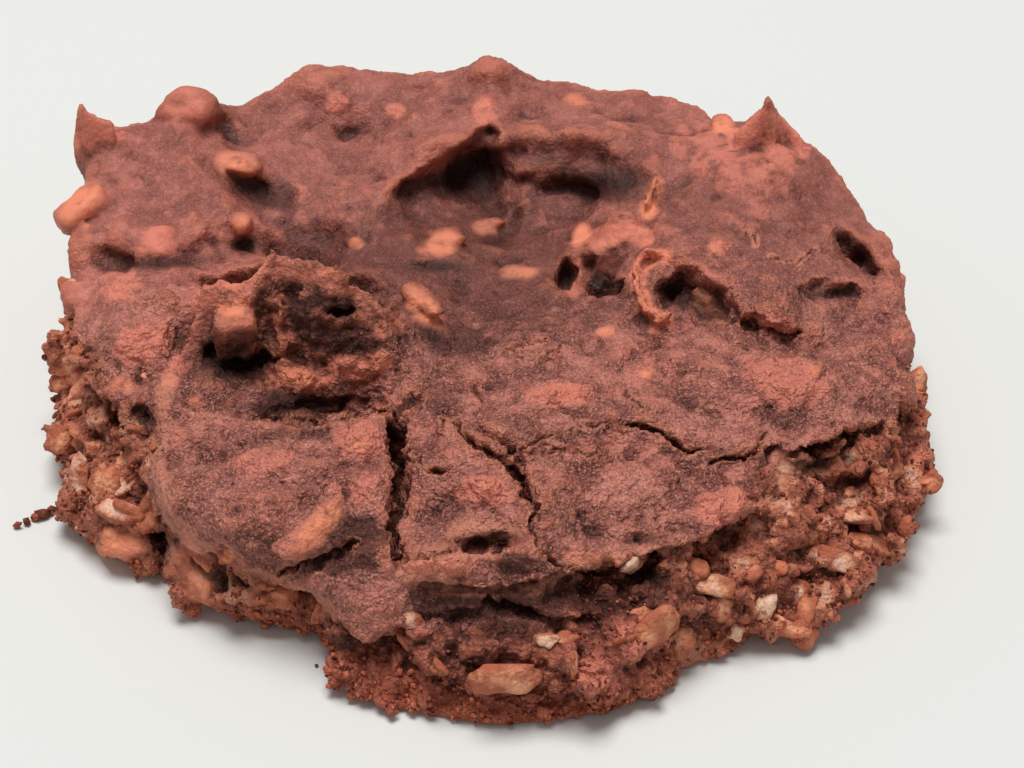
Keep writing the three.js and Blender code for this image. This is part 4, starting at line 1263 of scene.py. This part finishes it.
def crumb_mesh(mesh, masks):
    """Loose crumbs on the torn side, round the foot, along the cracks and on the table."""
    rng = np.random.default_rng(SEED + 4)
    corners = np.array([face.vertices[:] for face in mesh.polygons])
    crust, crack, shade, clean, centres = (values[corners].mean(axis=1) for values in (
        masks["crust"], masks["crack"], masks["shade"], masks["clean"], points_of(mesh)))
    open_skin = smooth_step(0.4, 0.1, shade) * smooth_step(0.5, 0.1, clean)
    normals = np.array([face.normal[:] for face in mesh.polygons])
    areas = np.array([face.area for face in mesh.polygons])
    torn = torn_share(centres, normals, lowest=0.3) * open_skin
    foot = torn * (centres[:, 2] < TOP_LOWEST)
    edges = smooth_step(0.05, 0.3, crack) * smooth_step(0.75, 0.45, crack) * (centres[:, 2] > TOP_LOWEST)
    edges += 0.5 * crust * (1 - crust) * (centres[:, 2] > TOP_LOWEST)
    edges *= open_skin
    places, radii, bright = [], [], []
    kinds = ((SIDE_CRUMBS, torn), (FOOT_CRUMBS, foot), (EDGE_CRUMBS, edges))
    for (count, least, most, light), share in kinds:
        weights = areas * share
        drawn = rng.choice(len(areas), count, p=weights / weights.sum())
        radius = least + (most - least) * rng.uniform(0, 1, count) ** 2
        spots = centres[drawn] + normals[drawn] * (0.3 * radius)[:, None]
        spots[:, 2] = np.maximum(spots[:, 2], 0.6 * radius)
        places.append(spots)
        radii.append(radius)
        bright.append(np.full(count, light))
    places.append(np.array([on_table(pixel) + [0, 0, 0.55 * radius] for pixel, radius in TABLE_CRUMBS]))
    radii.append(np.array([radius for _, radius in TABLE_CRUMBS]))
    bright.append(np.full(len(TABLE_CRUMBS), TABLE_CRUMB_LIGHT))
    places, radii, bright = np.concatenate(places), np.concatenate(radii), np.concatenate(bright)
    made = chunk_mesh(places, radii, rng, subdivisions=1)
    tones = np.clip(rng.uniform(0, 0.7, len(radii)) + bright, 0, 1)
    set_values(made, "tone", np.repeat(tones, len(made.vertices) // len(radii)))
    set_values(made, "bare", np.ones(len(made.vertices)))
    return made


# Materials, with colours as linear red, green and blue

DARK_CRUST = (0.25, 0.066, 0.049)
PALE_CRUST = (0.50, 0.162, 0.122)
BACK_CRUST = (0.40, 0.115, 0.085)
BRIGHT_BLOTCH = (0.72, 0.25, 0.185)
DARK_BLOTCH = (0.14, 0.036, 0.027)
BRIGHT_PATCH = (0.74, 0.28, 0.21)
DULL_PATCH = (0.12, 0.04, 0.032)
DARK_CRUMB = (0.14, 0.039, 0.027)
PALE_CRUMB = (0.35, 0.094, 0.06)
GOLDEN_CRUMB = (0.56, 0.155, 0.085)
FOOT_CRUMB = (0.50, 0.112, 0.054)
FLANK_CRUMB = (0.50, 0.15, 0.085)
OAT_FLECK = (0.82, 0.30, 0.165)
PALE_OAT_FLECK = (0.90, 0.49, 0.335)
# dark patches: partly the dough's own darker colour, partly painted shade in valleys, caves and recesses
UMBER_AND_SHADE_TINT = (0.085, 0.024, 0.019)
DEEP_UMBER_AND_SHADE = (0.075, 0.021, 0.016)
# painted highlight on raised edges and ridges
RIDGE_HIGHLIGHT = (0.62, 0.18, 0.10)
CRUMBLY_EDGE = (0.74, 0.28, 0.18)
ROSE = (0.80, 0.235, 0.165)
# the orange of oats and nuts, partly painted highlight on the tops of lumps, stones and lips
AMBER_AND_HIGHLIGHT = (0.90, 0.29, 0.155)
SPECK = (0.86, 0.45, 0.35)
GRANULE = (0.76, 0.30, 0.22)
GAP = (0.1, 0.026, 0.019)
PIT = (0.06, 0.014, 0.01)
# painted shade in broad hollows
SUNKEN_SHADE = (0.09, 0.02, 0.014)
# painted shade in small pits and crevices
PIT_SHADE = (0.04, 0.012, 0.009)
# painted shade inside the cracks
CRACK = (0.075, 0.018, 0.012)
DEEP_SHADE = (0.026, 0.008, 0.006)
CRUST_ROUGHNESS = 0.56
CRUMB_ROUGHNESS = 0.46
DOUGH_GRAIN = 0.17  # millimetres
SMALL_PIECE_GRAIN = 0.2
GRANULE_BEND = 0.6 * MM
BUMP_DEPTH = 0.2 * MM
SMALL_PIECE_BUMP = 0.6
DOUGH_SHEEN = 0.24
SMALL_PIECE_SHEEN = 0.2
BACK_TO_FRONT = (12 * MM, -12 * MM)  # along Y, where the grain gets clearer towards the camera
FLANK_SPAN = (8 * MM, 24 * MM)  # left and right of the middle, where flecks of oat begin and are in full
FOOT_SPAN = (3.6 * MM, 0.8 * MM)  # heights between which the crumb turns redder

# Finishes of the small pieces: colours from dark to pale, roughness, and the colour and size of dough flecks
OAT_FINISH = ([(0.74, 0.22, 0.105), (0.88, 0.38, 0.21), (0.92, 0.57, 0.41)], 0.6, (0.46, 0.13, 0.068), 1.4)
NUT_FINISH = ([(0.85, 0.36, 0.20), (0.90, 0.58, 0.41)], 0.55, (0.46, 0.15, 0.075), 1.2)
CRUMB_FINISH = ([(0.10, 0.027, 0.019), (0.33, 0.082, 0.046), (0.64, 0.18, 0.09)],
                0.7, (0.14, 0.034, 0.022), 0.6)


def node(tree, kind, inputs=None, prefix="ShaderNode", **settings):
    made = tree.nodes.new(prefix + kind)
    for name, value in settings.items():
        setattr(made, name, value)
    for key, value in (inputs or {}).items():
        if isinstance(value, bpy.types.NodeSocket):
            tree.links.new(value, made.inputs[key])
        else:
            made.inputs[key].default_value = value
    return made


def opaque(colour):
    """A plain colour with full alpha, or a socket as it is."""
    return colour if isinstance(colour, bpy.types.NodeSocket) else (*colour, 1.0)


def mixed(tree, factor, a, b):
    """Colour a where the factor is 0, and b where it is 1."""
    return node(tree, "Mix", {0: factor, 6: opaque(a), 7: opaque(b)}, data_type="RGBA").outputs[2]


def layered(tree, colour, layers):
    """A colour with others laid over it in turn, each through its mask."""
    for mask, tint in layers:
        colour = mixed(tree, mask, colour, tint)
    return colour


def ranged(tree, value, low, high, most=1.0):
    """A mask that rises from 0 to `most` as the value goes from low to high."""
    inputs = {"Value": value, "From Min": low, "From Max": high, "To Max": most}
    return node(tree, "MapRange", inputs, interpolation_type="SMOOTHSTEP").outputs[0]


def scaled(tree, value, factor):
    return node(tree, "Math", {0: value, 1: factor}, operation="MULTIPLY").outputs[0]


def weighted(tree, value, factor, base):
    """The base plus so much of the value."""
    return node(tree, "Math", {0: value, 1: factor, 2: base}, operation="MULTIPLY_ADD").outputs[0]


def attribute(tree, name):
    return node(tree, "Attribute", attribute_name=name).outputs["Fac"]


def noise_at(tree, place, scale, **inputs):
    return node(tree, "TexNoise", {"Vector": place, "Scale": scale, "Detail": 3.0, **inputs}).outputs


def speckled(tree, place, size, detail=3.0):
    """Noise that changes over `size` millimetres."""
    return noise_at(tree, place, 1 / (size * MM), Detail=detail)["Fac"]


def new_material(name):
    made = bpy.data.materials.new(name)
    made.use_nodes = True
    return made, made.node_tree, made.node_tree.nodes["Principled BSDF"]


def grain_group():
    """Fine grain shared by all the baked finishes: masks of light specks, dark pits, granules and the gaps
    between them, and a height."""
    group = bpy.data.node_groups.new("baked grain", "ShaderNodeTree")
    size = group.interface.new_socket("Size", in_out="INPUT", socket_type="NodeSocketFloat")
    size.default_value = SMALL_PIECE_GRAIN
    for name in ("Specks", "Pits", "Granules", "Gaps", "Height"):
        group.interface.new_socket(name, in_out="OUTPUT", socket_type="NodeSocketFloat")
    entry = node(group, "GroupInput", prefix="Node")
    leave = node(group, "GroupOutput", prefix="Node")
    place = node(group, "TexCoord").outputs["Object"]
    scale = node(group, "Math", {0: 1 / MM, 1: entry.outputs["Size"]}, operation="DIVIDE").outputs[0]
    granule_scale = scaled(group, scale, 0.36)
    fine = noise_at(group, place, scale, Roughness=0.65)["Fac"]
    coarse = noise_at(group, place, scaled(group, scale, 0.33))["Fac"]
    broad = noise_at(group, place, scaled(group, scale, 0.14))["Fac"]
    bend = noise_at(group, place, granule_scale, Detail=2.0)["Color"]
    bend = node(group, "VectorMath", {0: bend, 1: (GRANULE_BEND,) * 3}, operation="MULTIPLY").outputs[0]
    bent = node(group, "VectorMath", {0: place, 1: bend}, operation="ADD").outputs[0]
    granule = node(group, "TexVoronoi", {"Vector": bent, "Scale": granule_scale}).outputs["Distance"]
    height = weighted(group, coarse, 2.2, fine)
    height = weighted(group, granule, -1.6, height)
    height = weighted(group, broad, 4.0, height)
    outputs = {
        "Specks": ranged(group, fine, 0.52, 0.66), "Pits": ranged(group, fine, 0.48, 0.34),
        "Granules": ranged(group, granule, 0.5, 0.12), "Gaps": ranged(group, granule, 0.5, 0.85),
        "Height": height,
    }
    for name, value in outputs.items():
        group.links.new(value, leave.inputs[name])
    return group


def grained(tree, group, size):
    made = node(tree, "Group", node_tree=group)
    made.inputs["Size"].default_value = size
    return made.outputs


def add_bump(tree, shader, height, strength):
    bump = node(tree, "Bump", {"Height": height, "Strength": strength, "Distance": BUMP_DEPTH})
    tree.links.new(bump.outputs[0], shader.inputs["Normal"])


def crust_colour(tree, place, broad, middling, front):
    """The crust: blotched, with dull and bright patches, and of a more even red behind."""
    patches = speckled(tree, place, 3.4)
    return layered(tree, mixed(tree, ranged(tree, broad, 0.39, 0.60), DARK_CRUST, PALE_CRUST), [
        (ranged(tree, middling, 0.50, 0.64, 0.75), BRIGHT_BLOTCH),
        (ranged(tree, middling, 0.48, 0.34, 0.5), DARK_BLOTCH),
        (ranged(tree, patches, 0.47, 0.36, 0.3), DULL_PATCH),
        (ranged(tree, patches, 0.54, 0.66, 0.4), BRIGHT_PATCH),
        (weighted(tree, front, -0.5, 0.5), BACK_CRUST),
    ])


def crumb_colour(tree, place, broad, middling):
    """The torn crumb: redder at its foot, and with flecks of oat on the left and right."""
    axes = node(tree, "SeparateXYZ", {0: place}).outputs
    aside = node(tree, "Math", {0: axes[0]}, operation="ABSOLUTE").outputs[0]
    flank = ranged(tree, aside, *FLANK_SPAN)
    oaty = speckled(tree, place, 2.4)
    return layered(tree, mixed(tree, ranged(tree, broad, 0.38, 0.60), DARK_CRUMB, PALE_CRUMB), [
        (ranged(tree, middling, 0.53, 0.70), GOLDEN_CRUMB),
        (ranged(tree, axes[2], *FOOT_SPAN, 0.8), FOOT_CRUMB),
        (scaled(tree, flank, 0.45), FLANK_CRUMB),
        (scaled(tree, flank, ranged(tree, oaty, 0.49, 0.58, 0.85)), OAT_FLECK),
        (scaled(tree, flank, ranged(tree, oaty, 0.57, 0.65, 0.85)), PALE_OAT_FLECK),
    ])


def dough_material(grain):
    """Baked dough: crust and crumb by its own masks, with tints, grain, cracks, painted highlights on raised
    edges, and painted shade in hollows, cracks and caves over them.
    """
    made, tree, shader = new_material("baked dough")
    place = node(tree, "TexCoord").outputs["Object"]
    crust, rose, amber, umber_and_shade, crack, rim, shade, clean, hollow, sunken = (attribute(tree, name) for name in (
        "crust", "rose", "amber", "umber_and_shade", "crack", "rim", "shade", "clean", "hollow", "sunken"))
    broad = speckled(tree, place, 6.0, 4.0)
    middling = speckled(tree, place, 1.6, 4.0)
    fine = grained(tree, grain, DOUGH_GRAIN)
    front = ranged(tree, node(tree, "SeparateXYZ", {0: place}).outputs[1], *BACK_TO_FRONT)
    grainy = scaled(tree, weighted(tree, front, 0.65, 0.35), weighted(tree, clean, -0.5, 1.0))
    rosy = scaled(tree, rose, ranged(tree, weighted(tree, rose, 0.35, middling), 0.46, 0.72))
    broken = scaled(tree, rim, ranged(tree, weighted(tree, rim, 0.5, middling), 0.62, 0.92, 0.6))
    skin = crust_colour(tree, place, broad, middling, front)
    colour = layered(tree, mixed(tree, crust, crumb_colour(tree, place, broad, middling), skin), [
        # dark patches, partly own colour and partly painted shade
        (scaled(tree, umber_and_shade, 0.8), UMBER_AND_SHADE_TINT),
        # painted highlight on raised edges
        (ranged(tree, hollow, -0.05, -0.28, 0.5), RIDGE_HIGHLIGHT),
        # painted shade in broad hollows
        (ranged(tree, sunken, 0.05, 0.7, 0.7), SUNKEN_SHADE),
        (rosy, ROSE),
        (scaled(tree, fine["Pits"], scaled(tree, grainy, 0.24)), PIT),
        (scaled(tree, fine["Granules"], scaled(tree, grainy, 0.32)), GRANULE),
        (scaled(tree, fine["Gaps"], scaled(tree, grainy, 0.16)), GAP),
        (scaled(tree, fine["Specks"], scaled(tree, crust, scaled(tree, grainy, 0.6))), SPECK),
        # deeper painted shade where the dark patches are strongest
        (ranged(tree, umber_and_shade, 0.45, 0.95, 0.75), DEEP_UMBER_AND_SHADE),
        (scaled(tree, rosy, 0.35), ROSE),
        (broken, CRUMBLY_EDGE),
        # orange, partly painted highlight
        (scaled(tree, amber, ranged(tree, middling, 0.26, 0.46, 0.85)), AMBER_AND_HIGHLIGHT),
        # painted shade in small pits and crevices
        (ranged(tree, hollow, 0.08, 0.4, 0.6), PIT_SHADE),
        # painted shade inside the cracks
        (scaled(tree, crack, 0.85), CRACK),
        (scaled(tree, shade, 0.88), DEEP_SHADE),
    ])
    tree.links.new(colour, shader.inputs["Base Color"])
    roughness = weighted(tree, crust, CRUST_ROUGHNESS - CRUMB_ROUGHNESS, CRUMB_ROUGHNESS)
    tree.links.new(roughness, shader.inputs["Roughness"])
    shader.inputs["Specular IOR Level"].default_value = DOUGH_SHEEN
    add_bump(tree, shader, fine["Height"], grainy)
    return made


def small_piece_material(name, grain, colours, roughness, fleck, fleck_size):
    """A material that goes through a row of colours by each piece's tone, with flecks of dough on it."""
    made, tree, shader = new_material(name)
    place = node(tree, "TexCoord").outputs["Object"]
    patches = speckled(tree, place, fleck_size, 4.0)
    mottled = speckled(tree, place, 0.5 * fleck_size)
    tone = weighted(tree, mottled, 1.6, attribute(tree, "tone"))
    bounds = [0.8 + share for share in np.linspace(0, 1, len(colours)).tolist()]
    steps = [(ranged(tree, tone, *span), further) for *span, further in zip(bounds, bounds[1:], colours[1:])]
    fine = grained(tree, grain, SMALL_PIECE_GRAIN)
    covered = weighted(tree, attribute(tree, "bare"), -0.3, patches)
    flecks = [(ranged(tree, covered, 0.24, 0.50), fleck), (scaled(tree, fine["Pits"], 0.5), fleck)]
    tree.links.new(layered(tree, colours[0], steps + flecks), shader.inputs["Base Color"])
    shader.inputs["Roughness"].default_value = roughness
    shader.inputs["Specular IOR Level"].default_value = SMALL_PIECE_SHEEN
    add_bump(tree, shader, fine["Height"], SMALL_PIECE_BUMP)
    return made


# Scene, with lights and table in metres

TABLE_SIZE = 3.0
TABLE_COLOUR = (0.74, 0.745, 0.715)
SKY_STRENGTH = 0.30
LAMP_PLACE = (-0.06, 0.05, 0.8)
LAMP_SIZE = 0.45
LAMP_POWER = 5.8
NEAREST_SEEN = 0.005


def add_piece(name, mesh, material):
    move_points(mesh, points_of(mesh) * MM)
    mesh.shade_smooth()
    mesh.materials.clear()
    mesh.materials.append(material)
    piece = bpy.data.objects.new(name, mesh)
    bpy.context.scene.collection.objects.link(piece)
    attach(piece, "root")
    return piece


def add_camera():
    data = bpy.data.cameras.new("camera")
    data.sensor_width = SENSOR_WIDTH
    data.lens = SENSOR_WIDTH / 2 / math.tan(VIEW_ANGLE / 2)
    data.clip_start = NEAREST_SEEN
    camera = bpy.data.objects.new("camera", data)
    camera.location = VIEW_EYE * MM
    camera.rotation_euler = Vector(VIEW_AHEAD).to_track_quat("-Z", "Y").to_euler()
    bpy.context.scene.collection.objects.link(camera)
    bpy.context.scene.camera = camera


def add_stage():
    build = bmesh.new()
    bmesh.ops.create_grid(build, x_segments=1, y_segments=1, size=TABLE_SIZE)
    mesh = mesh_from(build)
    made, _, shader = new_material("pale table")
    shader.inputs["Base Color"].default_value = opaque(TABLE_COLOUR)
    shader.inputs["Roughness"].default_value = 0.9
    shader.inputs["Specular IOR Level"].default_value = 0.1
    mesh.materials.append(made)
    floor = bpy.data.objects.new("table", mesh)
    bpy.context.scene.collection.objects.link(floor)


def add_light():
    world = bpy.data.worlds.new("studio")
    world.use_nodes = True
    sky = world.node_tree.nodes["Background"]
    sky.inputs["Color"].default_value = (1, 1, 1, 1)
    sky.inputs["Strength"].default_value = SKY_STRENGTH
    bpy.context.scene.world = world
    data = bpy.data.lights.new("soft box", "AREA")
    data.shape = "DISK"
    data.size = LAMP_SIZE
    data.energy = LAMP_POWER
    lamp = bpy.data.objects.new("soft box", data)
    lamp.location = LAMP_PLACE
    lamp.rotation_euler = (-Vector(lamp.location)).to_track_quat("-Z", "Y").to_euler()
    bpy.context.scene.collection.objects.link(lamp)
    bpy.context.scene.view_settings.view_transform = "Standard"


dough_mesh = shaped_dough()
fine_relief(dough_mesh)
dough_mesh = thinned(dough_mesh)
masks = paint(dough_mesh)
seen = Seen(dough_mesh)
flakes = flake_mesh(seen, dough_mesh)
nuts = nut_mesh(seen, dough_mesh)
crumbs = crumb_mesh(dough_mesh, masks)

grain = grain_group()
dough = add_piece("dough", dough_mesh, dough_material(grain))
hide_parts("cookie")
add_piece("oat_flakes", flakes, small_piece_material("rolled oats", grain, *OAT_FINISH))
add_piece("nut_pieces", nuts, small_piece_material("nut kernel", grain, *NUT_FINISH))
add_piece("crumbs", crumbs, small_piece_material("crumbs", grain, *CRUMB_FINISH))
add_camera()
add_stage()
add_light()
